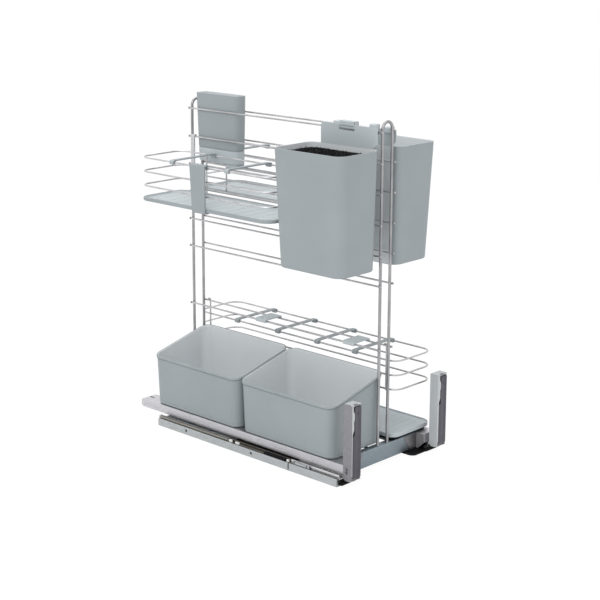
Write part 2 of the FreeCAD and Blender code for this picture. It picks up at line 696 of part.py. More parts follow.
def upper_clip():
    """An upright plate that hooks over the top ring and under the tray."""
    y0 = CLIP_CENTRE_Y - CLIP_WIDTH / 2
    y1 = CLIP_CENTRE_Y + CLIP_WIDTH / 2
    face = TRAY_OUTER_X + SEAT_GAP
    top = UPPER_RING_Z + WIRE_D / 2 + SEAT_GAP
    foot = TRAY_UNDER_Z - SEAT_GAP
    back = BASKET_OUTER_X - WIRE_D / 2 - SEAT_GAP
    wall = block(face, face + CLIP_SHEET, y0, y1, foot - CLIP_SHEET, top + CLIP_SHEET)
    over = block(back - CLIP_SHEET, face, y0, y1, top, top + CLIP_SHEET)
    drop = block(back - CLIP_SHEET, back, y0, y1, top - WIRE_D - CLIP_OVER, top)
    under = block(back - CLIP_SHEET, face, y0, y1, foot - CLIP_SHEET, foot)
    return [wall.fuse([over, drop, under]).removeSplitter()]


def divider(y, inner_x, ring_z):
    """A flat bar with a snap clip at each end, sliding along a basket's top ring."""
    y0, y1 = y - DIVIDER_WIDTH / 2, y + DIVIDER_WIDTH / 2
    radius = DIVIDER_CLIP_D / 2
    top = ring_z + radius
    body = block(inner_x, BASKET_OUTER_X, y0, y1, top - DIVIDER_SHEET, top)
    ends = (inner_x, BASKET_OUTER_X)
    body = body.fuse([rod((x, y0, ring_z), (x, y1, ring_z), DIVIDER_CLIP_D) for x in ends])
    for x in ends:
        bore = rod((x, y0, ring_z), (x, y1, ring_z), WIRE_D + 2 * SEAT_GAP)
        slit = block(x - DIVIDER_SLIT / 2, x + DIVIDER_SLIT / 2, y0, y1, ring_z - radius, ring_z)
        body = body.cut(bore).cut(slit)
    return body.removeSplitter()


def saddle_clip(y):
    """A plate over both low wires of the frame, with a leg down outside each."""
    y0, y1 = y - SADDLE_WIDTH / 2, y + SADDLE_WIDTH / 2
    under = LOW_WIRE_Z + WIRE_D / 2 + SEAT_GAP
    inner = WIRE_X + WIRE_D / 2 + SEAT_GAP
    outer = inner + SADDLE_SHEET
    top = block(-outer, outer, y0, y1, under, under + SADDLE_SHEET)
    left = block(-outer, -inner, y0, y1, LOW_WIRE_Z - SADDLE_LEG, under)
    right = block(inner, outer, y0, y1, LOW_WIRE_Z - SADDLE_LEG, under)
    return top.fuse([left, right]).removeSplitter()


# Tall bins: tapered, round-cornered, hung from the top wire by a plate with hooked tabs
def bin_solid(inset, floor_z, top_z):
    """The bin's outside, or with an inset its inside, between two heights."""
    def section(z):
        share = (BIN_RIM_Z - z) / (BIN_RIM_Z - BIN_FLOOR_Z)
        end = BIN_END_DRAFT * share + inset
        return loop(
            BIN_INNER_X + inset, BIN_OUTER_X - BIN_OUTER_DRAFT * share - inset,
            BIN_FRONT_Y + end, BIN_FRONT_Y + BIN_LENGTH - end, z, BIN_CORNER_R - inset,
        )
    return Part.makeLoft([section(floor_z), section(top_z)], True, True)


def tall_bin(hanger_rise, tab_rise, tab_offset):
    """A bin on the right; the rises are over the top wire, the offset is from the bin's front."""
    shell = bin_solid(0, BIN_FLOOR_Z, BIN_RIM_Z)
    foot = [e for e in shell.Edges if abs(e.BoundBox.ZMax - BIN_FLOOR_Z) < 0.01]
    shell = shell.makeFillet(BIN_FOOT_R, foot)
    shell = shell.cut(bin_solid(BIN_WALL, BIN_FLOOR_Z + BIN_WALL, BIN_RIM_Z))
    x0, x1 = BIN_INNER_X, BIN_INNER_X + HANGER_SHEET
    y0 = BIN_FRONT_Y + HANGER_INSETS[0]
    y1 = BIN_FRONT_Y + BIN_LENGTH - HANGER_INSETS[1]
    hanger = block(x0, x1, y0, y1, BIN_RIM_Z - BIN_CORNER_R, TOP_WIRE_Z + hanger_rise)
    hanger = hanger.cut(bin_solid(BIN_WALL, BIN_FLOOR_Z + BIN_WALL, BIN_RIM_Z))
    shell = shell.fuse(hanger)
    leg_x = WIRE_X - WIRE_D / 2 - SEAT_GAP - TAB_LEG_T
    leg_z = TOP_WIRE_Z - TAB_LEG_DROP
    seat = TOP_WIRE_Z + WIRE_D / 2 + SEAT_GAP
    tab_y = BIN_FRONT_Y + tab_offset
    end_y = FRONT_HOOP_Y + ROD_D
    for start, length in ((tab_y, TAB_LENGTH), (end_y, END_TAB_LENGTH)):
        cap = block(leg_x, x1, start, start + length, seat, TOP_WIRE_Z + tab_rise)
        neck = block(x0, x1, start, start + length, BIN_RIM_Z, seat)
        leg = block(leg_x, leg_x + TAB_LEG_T, start, start + length, leg_z, seat)
        shell = shell.fuse([cap, neck, leg])
    if hanger_rise > seat - TOP_WIRE_Z:
        window_y = tab_y + (TAB_LENGTH - WINDOW_LENGTH) / 2
        shell = shell.cut(block(
            x0 - CUT_PAST, x1 + CUT_PAST, window_y, window_y + WINDOW_LENGTH, seat - WINDOW_H, seat
        ))
    return shell.removeSplitter()


def insert_case():
    """The open-topped box that holds the bristles, inside the left bin."""
    inset = BIN_WALL + INSERT_GAP
    top = BIN_RIM_Z - INSERT_TOP_DROP - BRISTLE_RISE
    outer = bin_solid(inset, INSERT_FLOOR_Z, top)
    inner = bin_solid(inset + INSERT_WALL, INSERT_FLOOR_Z + INSERT_WALL, top)
    return mirrored(outer.cut(inner))


def bristle_block():
    inset = BIN_WALL + INSERT_GAP + INSERT_WALL + WELD_GAP
    floor_z = INSERT_FLOOR_Z + INSERT_WALL + WELD_GAP
    return mirrored(bin_solid(inset, floor_z, BIN_RIM_Z - INSERT_TOP_DROP))


# Slim holder: a tapered pocket whose far side hooks on the top wire
def holder_section(z, inset):
    share = (HOLDER_TOP_Z - z) / (HOLDER_TOP_Z - HOLDER_FLOOR_Z)
    x = HOLDER_HALF_X - inset
    front = HOLDER_FRONT_Y + HOLDER_DRAFT / 2 * share + inset
    rear = HOLDER_REAR_Y - HOLDER_DRAFT * share - inset
    fr, rr = HOLDER_FRONT_R - inset, HOLDER_REAR_R - inset
    diag = 1 - math.sqrt(0.5)
    line = lambda a, b: Part.LineSegment(vec(*a, z), vec(*b, z)).toShape()
    arc = lambda a, b, c: Part.Arc(vec(*a, z), vec(*b, z), vec(*c, z)).toShape()
    return Part.Wire([
        line((-x + fr, front), (x - fr, front)),
        arc((x - fr, front), (x - fr * diag, front + fr * diag), (x, front + fr)),
        line((x, front + fr), (x, rear - rr)),
        arc((x, rear - rr), (x - rr * diag, rear - rr * diag), (x - rr, rear)),
        line((x - rr, rear), (-x + rr, rear)),
        arc((-x + rr, rear), (-x + rr * diag, rear - rr * diag), (-x, rear - rr)),
        line((-x, rear - rr), (-x, front + fr)),
        arc((-x, front + fr), (-x + fr * diag, front + fr * diag), (-x + fr, front)),
    ])


def slim_holder():
    def pocket(floor_z, inset):
        ends = [holder_section(z, inset) for z in (floor_z, HOLDER_TOP_Z)]
        return Part.makeLoft(ends, True, True)
    body = pocket(HOLDER_FLOOR_Z, 0).cut(pocket(HOLDER_FLOOR_Z + HOLDER_WALL, HOLDER_WALL))
    seat = TOP_WIRE_Z + WIRE_D / 2 + SEAT_GAP
    leg_x = WIRE_X + WIRE_D / 2 + SEAT_GAP
    for y in (HOLDER_FRONT_Y + HOLDER_HOOK_INSET, HOLDER_REAR_Y - HOLDER_HOOK_INSET - HOLDER_HOOK_L):
        y1 = y + HOLDER_HOOK_L
        over = block(
            HOLDER_HALF_X - HOLDER_WALL, leg_x + HOLDER_WALL, y, y1, seat, seat + HOLDER_WALL
        )
        leg = block(leg_x, leg_x + HOLDER_WALL, y, y1, seat - 2 * WIRE_D, seat)
        body = body.fuse([over, leg])
    return body.removeSplitter()


# Tubs: open, tapered, with a rim that slopes down to the outer side
def tub_solid(y0, inset, floor_z, top_z):
    def section(z):
        share = (TUB_HIGH_RIM_Z - z) / (TUB_HIGH_RIM_Z - FLOOR_Z)
        shrink = TUB_DRAFT * share + inset
        return loop(
            -TUB_OUTER_X + shrink, TUB_PAST_MIDDLE - shrink,
            y0 + shrink, y0 + TUB_LENGTH - shrink, z, TUB_CORNER_R - inset,
        )
    return Part.makeLoft([section(floor_z), section(top_z)], True, True)


def above_rim(y0, drop):
    """Everything over a plane that lies the given distance under the sloping rim."""
    reach = TUB_LIP + CUT_PAST
    slope = (TUB_HIGH_RIM_Z - TUB_LOW_RIM_Z) / (TUB_OUTER_X + TUB_PAST_MIDDLE)
    x0, x1 = -TUB_OUTER_X - reach, TUB_PAST_MIDDLE + reach
    z0 = TUB_LOW_RIM_Z - slope * reach - drop
    z1 = TUB_HIGH_RIM_Z + slope * reach - drop
    ceiling = TUB_HIGH_RIM_Z + TUB_LENGTH
    points = ((x0, z0), (x1, z1), (x1, ceiling), (x0, ceiling))
    return profile_along_y(points, y0 - reach, y0 + TUB_LENGTH + reach)


def tub(y0):
    top = TUB_HIGH_RIM_Z + TUB_LIP_H
    shell = tub_solid(y0, 0, FLOOR_Z, top)
    lip = tub_solid(y0, -TUB_LIP, FLOOR_Z, top).common(above_rim(y0, TUB_LIP_H))
    body = shell.fuse(lip)
    body = body.cut(tub_solid(y0, TUB_WALL, FLOOR_Z + TUB_WALL, top))
    return body.cut(above_rim(y0, 0)).removeSplitter()


# Bottle tray
def bottle_mat():
    def tray(inset, floor_z):
        return plate(
            MAT_INNER_X + inset, MAT_OUTER_X - inset, MAT_FRONT_Y + inset, MAT_REAR_Y - inset,
            floor_z, MAT_TOP_Z, MAT_CORNER_R - inset,
        )
    return tray(0, FLOOR_Z).cut(tray(MAT_SHEET, FLOOR_Z + MAT_SHEET))


os.makedirs("parts", exist_ok=True)

save("hoop_front", hoop(FRONT_HOOP_Y))
save("hoop_rear", hoop(REAR_HOOP_Y))
save_pair("frame_wires", frame_wires)
save_pair("side_rail", side_rail)
save("crossbar_front", crossbar(FRONT_BAR_Y, 1))
save("crossbar_rear", crossbar(REAR_BAR_Y, -1))
save("floor_wires", *floor_wires())
save_pair("door_bracket", door_bracket)
save_pair("door_plate", door_plate)
save_pair("bracket_screws", bracket_screws)
save_pair("cabinet_rail", cabinet_rail)
save_pair("middle_rail", middle_rail)
save_pair("drawer_rail", drawer_rail)
save_pair("lower_cage", lower_cage)
save_pair("upper_cage", upper_cage)
save_pair("lever_block", lever_block)
save_pair("release_lever", release_lever)
save_pair("upper_basket", upper_basket)
save_pair("upper_tray", upper_tray)
save_pair("upper_clip", upper_clip)
for number, inset in enumerate(RIGHT_DIVIDER_INSETS, 1):
    save(f"divider_right_{number}", divider(UPPER_FRONT_Y + inset, UPPER_INNER_X, UPPER_RING_Z))
for number, inset in enumerate(LEFT_DIVIDER_INSETS, 1):
    bar = divider(UPPER_FRONT_Y + inset, UPPER_INNER_X, UPPER_RING_Z)
    save(f"divider_left_{number}", mirrored(bar))
save("bottle_basket", *bottle_basket())
for number, place in enumerate(BOTTLE_DIVIDER_YS, 1):
    save(f"bottle_divider_{number}", divider(place, BOTTLE_INNER_X, BOTTLE_RING_Z))
for number, place in enumerate(SADDLE_YS, 1):
    save(f"saddle_clip_{number}", saddle_clip(place))
save("tall_bin_left", mirrored(tall_bin(LEFT_HANGER_RISE, LEFT_TAB_RISE, LEFT_TAB_OFFSET)))
save("tall_bin_right", tall_bin(RIGHT_HANGER_RISE, RIGHT_TAB_RISE, RIGHT_TAB_OFFSET))
save("insert_case", insert_case())
save("bristle_block", bristle_block())
save("slim_holder", slim_holder())
save("tub_front", tub(TUB_FRONT_Y))
save("tub_rear", tub(TUB_FRONT_Y + TUB_SPACING))
save("bottle_mat", bottle_mat())
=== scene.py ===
import math
import random

import bmesh
import bpy
from mathutils import Matrix, Vector


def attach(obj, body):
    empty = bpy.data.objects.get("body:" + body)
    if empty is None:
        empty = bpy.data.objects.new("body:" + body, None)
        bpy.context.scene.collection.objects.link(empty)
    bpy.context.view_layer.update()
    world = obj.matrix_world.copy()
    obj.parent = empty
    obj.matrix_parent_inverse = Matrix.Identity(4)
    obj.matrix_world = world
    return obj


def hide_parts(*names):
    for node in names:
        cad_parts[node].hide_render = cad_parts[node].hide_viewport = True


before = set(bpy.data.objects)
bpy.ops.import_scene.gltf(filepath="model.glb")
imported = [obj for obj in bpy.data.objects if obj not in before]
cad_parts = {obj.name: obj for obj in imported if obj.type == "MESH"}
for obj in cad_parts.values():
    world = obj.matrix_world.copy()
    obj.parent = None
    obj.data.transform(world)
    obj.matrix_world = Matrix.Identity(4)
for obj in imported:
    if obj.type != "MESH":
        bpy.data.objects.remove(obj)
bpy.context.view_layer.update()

scene = bpy.context.scene
scene.view_settings.view_transform = "Standard"

# Camera, at the photograph's viewing angle: it stands to the left of the front, a little
# above the unit, and looks slightly down. The small shift only frames the unit.
camera = bpy.data.objects.new("camera", bpy.data.cameras.new("camera"))
scene.collection.objects.link(camera)
scene.camera = camera
camera.data.lens = 89.31
camera.data.shift_x = 0.049
camera.data.shift_y = -0.1
camera.data.clip_start = 0.05
camera.location = (-1.8082, -1.7100, 0.8968)
yaw, pitch = 0.8019, 0.2174
look = Vector((math.sin(yaw) * math.cos(pitch), math.cos(yaw) * math.cos(pitch), -math.sin(pitch)))
camera.rotation_euler = look.to_track_quat("-Z", "Y").to_euler()

# Light: an even pale world and three large soft lamps, the strongest from the upper left.
# The background is white to the camera and in reflections, whatever the lamps give.
class Value:
    """A shader socket; maths written with it adds Math nodes to its tree."""

    def __init__(self, tree, socket):
        self.tree = tree
        self.socket = socket

    def step(self, operation, *others):
        return add_node(self.tree, "Math", dict(enumerate((self, *others))), operation=operation)

    def __add__(self, other):
        return self.step("ADD", other)

    def __mul__(self, other):
        return self.step("MULTIPLY", other)

    __radd__ = __add__
    __rmul__ = __mul__

    def between(self, low, high, to_low=0.0, to_high=1.0):
        """A smooth step from to_low to to_high, while this value goes from low to high."""
        sockets = {"Value": self, "From Min": low, "From Max": high, "To Min": to_low, "To Max": to_high}
        return add_node(self.tree, "MapRange", sockets, "Result", interpolation_type="SMOOTHSTEP")


def add_node(tree, kind, sockets, output=0, **settings):
    """A node with its settings, then the values or links of its sockets; one output as a Value."""
    node = tree.nodes.new("ShaderNode" + kind)
    for setting, value in settings.items():
        setattr(node, setting, value)
    for socket, value in sockets.items():
        if isinstance(value, Value):
            tree.links.new(value.socket, node.inputs[socket])
        else:
            node.inputs[socket].default_value = value
    return Value(tree, node.outputs[output]) if node.outputs else None


def empty_tree(owner):
    """The node tree of a world or material, with nothing in it."""
    owner.use_nodes = True
    owner.node_tree.nodes.clear()
    return owner.node_tree


world = bpy.data.worlds.new("studio")
scene.world = world
tree = empty_tree(world)
camera_ray, glossy_ray, through_ray = [
    add_node(tree, "LightPath", {}, f"Is {kind} Ray") for kind in ("Camera", "Glossy", "Transmission")
]
seen = camera_ray.step("MAXIMUM", glossy_ray).step("MAXIMUM", through_ray)
ambient = add_node(tree, "Background", {"Color": (0.97, 0.985, 1.0, 1.0), "Strength": 0.8})
backdrop = add_node(tree, "Background", {"Color": (1.0, 1.0, 1.0, 1.0), "Strength": 1.0})
surroundings = add_node(tree, "MixShader", {0: seen, 1: ambient, 2: backdrop})
add_node(tree, "OutputWorld", {"Surface": surroundings})
unit_middle = Vector((0.0, 0.0, 0.28))
for name, place, size, power in (
    ("key", (-2.4, -0.8, 2.8), 1.8, 34.0),
    ("fill", (0.9, -2.9, 1.6), 1.8, 4.0),
    ("top", (0.3, 0.4, 3.0), 2.4, 30.0),
):
    lamp = bpy.data.objects.new(name, bpy.data.lights.new(name, "AREA"))
    scene.collection.objects.link(lamp)
    lamp.data.size = size
    lamp.data.energy = power
    lamp.location = place
    aim = unit_middle - Vector(place)
    lamp.rotation_euler = aim.to_track_quat("-Z", "Y").to_euler()

# Floor: a pale matt sheet just under the unit. It is lightened towards white for the camera,
# so that only a soft shadow stays.
bpy.ops.mesh.primitive_plane_add(size=14.0, location=(0.0, 0.0, -0.0004))
floor = bpy.context.object
floor.name = "floor"
paper = bpy.data.materials.new("floor")
tree = empty_tree(paper)
lightened = add_node(tree, "LightPath", {}, "Is Camera Ray") * 0.93
matt = add_node(tree, "BsdfDiffuse", {"Color": (0.93, 0.93, 0.93, 1.0)})
glow = add_node(tree, "Emission", {"Color": (1.0, 1.0, 1.0, 1.0), "Strength": 1.03})
sheet = add_node(tree, "MixShader", {0: lightened, 1: matt, 2: glow})
add_node(tree, "OutputMaterial", {"Surface": sheet})
floor.data.materials.append(paper)

# Bright wire: the hoops, lengthwise wires, baskets' rings and floor wires keep their solids.
# Plated steel with faint clouding, tiny drawn ridges along the wire and a few dull spots.
class Finish:
    """A material being built on one Principled shader, measured in metres of the object."""

    def __init__(self, name, metallic=0.0, gloss=0.5):
        self.material = bpy.data.materials.new(name)
        self.material.use_nodes = True
        self.tree = self.material.node_tree
        self.shader = self.tree.nodes["Principled BSDF"]
        self.shader.inputs["Metallic"].default_value = metallic
        self.shader.inputs["Specular IOR Level"].default_value = gloss
        self.place = add_node(self.tree, "TexCoord", {}, "Object")

    def feed(self, socket, value):
        self.tree.links.new(value.socket, self.shader.inputs[socket])

    def axis(self, letter):
        return add_node(self.tree, "SeparateXYZ", {0: self.place}, letter)

    def texture(self, kind, stretch, output, **sockets):
        """A texture over the piece's own coordinates, which are stretched first."""
        place = add_node(self.tree, "Mapping", {"Vector": self.place, "Scale": stretch})
        return add_node(self.tree, kind, {"Vector": place, **sockets}, output)

    def noise(self, scale, detail, stretch=(1.0, 1.0, 1.0)):
        return self.texture("TexNoise", stretch, 0, Scale=scale, Detail=detail)

    def cells(self, scale, stretch=(1.0, 1.0, 1.0), output="Distance"):
        return self.texture("TexVoronoi", stretch, output, Scale=scale)

    def colour(self, factor, low, high):
        """The colour from low to high by a factor; low may be what an earlier call gave."""
        low = low if isinstance(low, Value) else (*low, 1.0)
        sockets = {"Factor": factor, "A": low, "B": (*high, 1.0)}
        tone = add_node(self.tree, "Mix", sockets, "Result", data_type="RGBA")
        self.feed("Base Color", tone)
        return tone

    def rough(self, value):
        self.feed("Roughness", value)

    def bump(self, height, distance, strength):
        sockets = {"Height": height, "Distance": distance, "Strength": strength}
        self.feed("Normal", add_node(self.tree, "Bump", sockets))


def wire_finish(name, dull, bright, stretch):
    finish = Finish(name, metallic=1.0)
    cloud = finish.noise(35.0, 4.0)
    drawn = finish.noise(2200.0, 2.0, stretch)
    tone = finish.colour(cloud.between(0.35, 0.65), dull, bright)
    spots = finish.noise(420.0, 2.0).between(0.66, 0.74)
    finish.colour(spots * 0.5, tone, (0.28, 0.28, 0.285))
    finish.rough(cloud.between(0.3, 0.7, 0.3, 0.4) + drawn * 0.06)
    finish.bump(drawn, 0.00004, 0.6)
    return finish.material


def dress(material, *nodes):
    """The material, put on CAD nodes that keep their own mesh."""
    for node in nodes:
        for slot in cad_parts[node].material_slots:
            slot.material = material


along_y, along_z = (1.0, 0.02, 1.0), (1.0, 1.0, 0.02)
# One plated steel in three tones: the lengthwise wires plain, the hoops' uprights darker as painted shade,
# and the baskets' rings paler as painted light.
wire_along_y = wire_finish("wire_along_y", (0.47, 0.465, 0.475), (0.58, 0.575, 0.585), along_y)
lit_wire_of_baskets = wire_finish("lit_wire_of_baskets", (0.54, 0.535, 0.545), (0.65, 0.645, 0.655), along_y)
shaded_wire_upright = wire_finish("shaded_wire_upright", (0.33, 0.326, 0.334), (0.42, 0.416, 0.424), along_z)
dress(shaded_wire_upright, "hoop_front", "hoop_rear")
dress(wire_along_y, "frame_wires_left", "frame_wires_right", "floor_wires", "bottle_basket")
dress(lit_wire_of_baskets, "upper_basket_left", "upper_basket_right")

# Tall bins: moulded in grey plastic, tapered, with rounded feet and rims. Each hangs from a
# top wire by a plate whose tabs fold over it; the left one stands higher, with a window. The
# plates and the insides are painted in paler greys than the bin, as painted light.
# From here on shapes are in millimetres, drawn on the right; add_piece makes them metres.
def plastic_finish(name, dark, light, gloss=0.42):
    finish = Finish(name, gloss=gloss)
    flow = finish.noise(9.0, 3.0)
    finish.colour(flow.between(0.3, 0.7), dark, light)
    grain = finish.noise(2600.0, 2.0)
    pits = finish.cells(1500.0)
    finish.rough(flow.between(0.3, 0.7, 0.42, 0.5) + grain * 0.08)
    finish.bump(grain + pits * 0.5, 0.00005, 0.35)
    return finish.material


def outline(x0, x1, y0, y1, radius, height, slope=0.0):
    """A rounded rectangle of points; its height rises with x by the slope."""
    steps = 7
    radii = radius if isinstance(radius, tuple) else (radius,) * 4
    centres = (
        (x1 - radii[0], y1 - radii[0]), (x0 + radii[1], y1 - radii[1]),
        (x0 + radii[2], y0 + radii[2]), (x1 - radii[3], y0 + radii[3]),
    )
    points = []
    for corner, (centre_x, centre_y) in enumerate(centres):
        for step in range(steps + 1):
            angle = math.radians(90 * (corner + step / steps))
            x = centre_x + radii[corner] * math.cos(angle)
            y = centre_y + radii[corner] * math.sin(angle)
            points.append(Vector((x, y, height + slope * x)))
    return points


def tapered(low_box, high_box, radius, low, high, slope=0.0):
    """Outlines of a tapered box, measured up from its foot (end 0) or its rim (end 1)."""
    def ring(end, up, inset):
        share = end + up / (high - low)
        x0, x1, y0, y1 = [a + (b - a) * share for a, b in zip(low_box, high_box)]
        corners = tuple(r - inset for r in radius) if isinstance(radius, tuple) else radius - inset
        level = (low, high)[end] + up
        return outline(x0 + inset, x1 - inset, y0 + inset, y1 - inset, corners, level, slope * end)
    return ring


def skin(rings, inside_from=None):
    """A closed mesh through rings of equal length, with material 1 past ring inside_from."""
    count = len(rings[0])
    points = [point for ring in rings for point in ring]
    faces = []
    inner = []
    for level in range(len(rings) - 1):
        below, above = level * count, (level + 1) * count
        for corner in range(count):
            after = (corner + 1) % count
            faces.append((below + corner, below + after, above + after, above + corner))
            inner.append(int(inside_from is not None and level >= inside_from))
    faces += [tuple(reversed(range(count))), tuple(range(len(points) - count, len(points)))]
    inner += [0, int(inside_from is not None)]
    mesh = bpy.data.meshes.new("skin")
    mesh.from_pydata(points, [], faces)
    mesh.polygons.foreach_set("material_index", inner)
    return mesh


def quarter(radius, steps=4):
    """(across, up) pairs of a rounded corner, from flat to upright."""
    turns = [math.radians(90 * step / steps) for step in range(steps + 1)]
    return [(radius * (1 - math.sin(turn)), radius * (1 - math.cos(turn))) for turn in turns]


def vessel(ring, wall, foot, belt=(), base=0.0, drop=0.0, side=0.0, plinth=0.0, fill=0.0):
    """An open box on the outlines that ring gives, its foot rounded by the radius foot.

    Belt points are (end, up, inset) of its outside between foot and rim. The foot is lifted by
    base and the rim lowered by drop, the walls stand in by side and the foot by plinth more, and
    fill thickens the floor.
    """
    outside = [ring(0, base + up, side + plinth + across) for across, up in quarter(foot)]
    outside += [ring(end, up, side + inset) for end, up, inset in belt]
    proud = belt[-1][2] if belt else 0.0
    roll = min(1.0, (wall - proud) / 2.2)
    rim = [(proud + across, -up) for across, up in reversed(quarter(roll, 3))]
    rim += [(wall - across, -up) for across, up in quarter(roll, 3)]
    edge = [ring(1, up - drop, side + across) for across, up in rim]
    inside = [ring(0, base + wall + fill + up, side + wall + across) for across, up in quarter(foot)]
    half_rim = len(edge) // 2
    return skin(outside + edge + inside[::-1], len(outside) + half_rim)


def rounded(points, bend):
    """Flat points with their corners rounded; a point may bring its own radius third."""
    steps = 4
    result = []
    for number, point in enumerate(points):
        here = Vector(point[:2])
        back = Vector(points[number - 1][:2]) - here
        ahead = Vector(points[(number + 1) % len(points)][:2]) - here
        half = back.angle(ahead) / 2
        radius = point[2] if len(point) > 2 else bend
        reach = min(radius / math.tan(half), 0.49 * back.length, 0.49 * ahead.length)
        radius = reach * math.tan(half)
        back.normalize()
        ahead.normalize()
        centre = here + (back + ahead).normalized() * radius / math.sin(half)
        arm = here + back * reach - centre
        other = here + ahead * reach - centre
        turn = math.atan2(arm.cross(other), arm.dot(other))
        result += [centre + Matrix.Rotation(turn * step / steps, 2) @ arm for step in range(steps + 1)]
    return result


def laid_across(axis, level):
    """The matrix that lays (u, v) in the plane across an axis, at that level of it."""
    columns = {
        "x": ((0, 1, 0), (0, 0, 1), (1, 0, 0)),
        "y": ((1, 0, 0), (0, 0, 1), (0, -1, 0)),
        "z": ((1, 0, 0), (0, 1, 0), (0, 0, 1)),
    }[axis]
    matrix = Matrix(columns).transposed().to_4x4()
    matrix["xyz".index(axis)][3] = level
    return matrix


def pressed(outer, holes, axis, start, end, edge=0.4):
    """A flat shape with holes, its edges softened, pulled along an axis."""
    curve = bpy.data.curves.new("pressed", "CURVE")
    curve.dimensions = "2D"
    curve.fill_mode = "BOTH"
    curve.extrude = (end - start) / 2 - edge
    curve.bevel_depth = edge
    curve.bevel_resolution = 1
    curve.offset = -edge
    for ring in [outer] + holes:
        area = sum(a[0] * b[1] - b[0] * a[1] for a, b in zip(ring, ring[1:] + ring[:1]))
        if (area > 0) != (ring is outer):
            ring = ring[::-1]
        spline = curve.splines.new("POLY")
        spline.points.add(len(ring) - 1)
        spline.use_cyclic_u = True
        for point, flat in zip(spline.points, ring):
            point.co = (flat[0], flat[1], 0.0, 1.0)
    holder = bpy.data.objects.new("pressed", curve)
    scene.collection.objects.link(holder)
    mesh = bpy.data.meshes.new_from_object(holder.evaluated_get(bpy.context.evaluated_depsgraph_get()))
    bpy.data.objects.remove(holder)
    mesh.transform(laid_across(axis, (start + end) / 2))
    return mesh


def paint(mesh, index):
    """The mesh, with all its faces set to one of the piece's materials."""
    mesh.polygons.foreach_set("material_index", [index] * len(mesh.polygons))
    return mesh


def add_piece(name, meshes, materials, body, *nodes, slot="grey_plastic", sign=1, sharp=38.0):
    """One object from several meshes, riding on a body and standing for the nodes named.

    Its materials are numbered from 0, and a sign of -1 mirrors it to the left.
    """
    millimetre = 0.001
    whole = bmesh.new()
    for mesh in meshes:
        whole.from_mesh(mesh)
    bmesh.ops.remove_doubles(whole, verts=whole.verts, dist=0.001)
    for vert in whole.verts:
        vert.co *= millimetre
        vert.co.x *= sign
    bmesh.ops.recalc_face_normals(whole, faces=whole.faces)
    merged = bpy.data.meshes.new(name)
    whole.to_mesh(merged)
    whole.free()
    for material in materials:
        merged.materials.append(material)
    merged.shade_smooth()
    merged.set_sharp_from_angle(angle=math.radians(sharp))
    piece = bpy.data.objects.new(name, merged)
    scene.collection.objects.link(piece)
    even = piece.modifiers.new("even", "WEIGHTED_NORMAL")
    even.keep_sharp = True
    finished = piece.evaluated_get(bpy.context.evaluated_depsgraph_get())
    piece.data = bpy.data.meshes.new_from_object(finished)
    piece.modifiers.clear()
    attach(piece, body)
    if nodes:
        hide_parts(*nodes)


def folded_tab(start, end, top, root=545.0):
    """A tab that goes up from the bin's plate, over the top wire and down its inner side."""
    lip_inner, lip_outer = 12.25, 14.25
    plate_inner, plate_outer = 22.5, 24.7
    tip, under_fold = 552.0, 557.8
    points = (
        (lip_inner, tip, 0.9), (lip_inner, top, 2.6), (plate_outer, top, 1.6), (plate_outer, root, 0.1),
        (plate_inner, root, 0.1), (plate_inner, under_fold, 0.1), (lip_outer, under_fold, 0.6),
        (lip_outer, tip, 0.9),
    )
    return pressed(rounded(points, 1.0), [], "y", start, end)


grey_plastic = plastic_finish("grey_plastic", (0.295, 0.328, 0.34), (0.318, 0.35, 0.362))
# Insides are painted in a paler copy of the grey, as painted light where the walls would shade them.
lit_inner_plastic = plastic_finish("lit_inner_plastic", (0.665, 0.69, 0.7), (0.705, 0.73, 0.74))
# A paler grey: painted light on the bins' plates; the holder's lower band and foot and the saddle clips are
# pale in it.
pale_and_lit_plastic = plastic_finish("pale_and_lit_plastic", (0.48, 0.527, 0.545), (0.515, 0.56, 0.577))
bin_ring = tapered((22.5, 112.0, -220.0, -82.0), (22.5, 121.0, -226.0, -76.0), 18.0, 333.5, 529.5)
for side, sign, plate_top, tab_y, tab_end, tab_top in (
    ("left", -1, 564.0, -169.0, -138.0, 569.5), ("right", 1, 554.5, -130.0, -92.0, 561.3),
):
    plate = rounded((
        (-208.5, 508.0, 1.0), (-98.0, 508.0, 4.0), (-98.0, plate_top, 7.0), (-217.0, plate_top, 5.0),
        (-217.0, 537.0, 3.0), (-208.5, 530.0, 2.0),
    ), 4.0)
    fold_y, fold_top = tab_end + 4, plate_top - 6
    fold = rounded((
        (fold_y, 532.0), (fold_y + 2.5, 532.0), (fold_y + 2.5, fold_top, 1.2), (fold_y, fold_top, 1.2),
    ), 1.0)
    windows, over_window, tab_root = [], [], 545.0
    if side == "left":
        window_low, window_high, tab_root = 554.2, 562.2, 562.8
        windows.append(rounded((
            (tab_y - 1, window_low), (tab_end + 1, window_low), (tab_end + 1, window_high),
            (tab_y - 1, window_high),
        ), 1.6))
        over_window.append(pressed(rounded((
            (tab_y, 562.9), (tab_end, 562.9), (tab_end, tab_top), (tab_y, tab_top),
        ), 0.8), [], "x", 22.7, 24.5))
    hanger = [
        pressed(plate, windows, "x", 22.6, 24.6), folded_tab(tab_y, tab_end, tab_top, tab_root), *over_window,
        folded_tab(-213.0, -201.0, tab_top), pressed(fold, [], "x", 22.2, 23.2, 0.25),
    ]
    shell = vessel(bin_ring, 2.2, 3.0)
    if side == "right":
        # Its wall towards the other bin is painted paler, as painted light in the gap between the bins.
        for face in shell.polygons:
            if face.normal.x < -0.9 and face.center.x < 23.0:
                face.material_index = 1
    add_piece(
        f"bin_{side}", [shell] + [paint(part, 2) for part in hanger],
        (grey_plastic, lit_inner_plastic, pale_and_lit_plastic), f"tall_bin_{side}", f"tall_bin_{side}", sign=sign,
    )

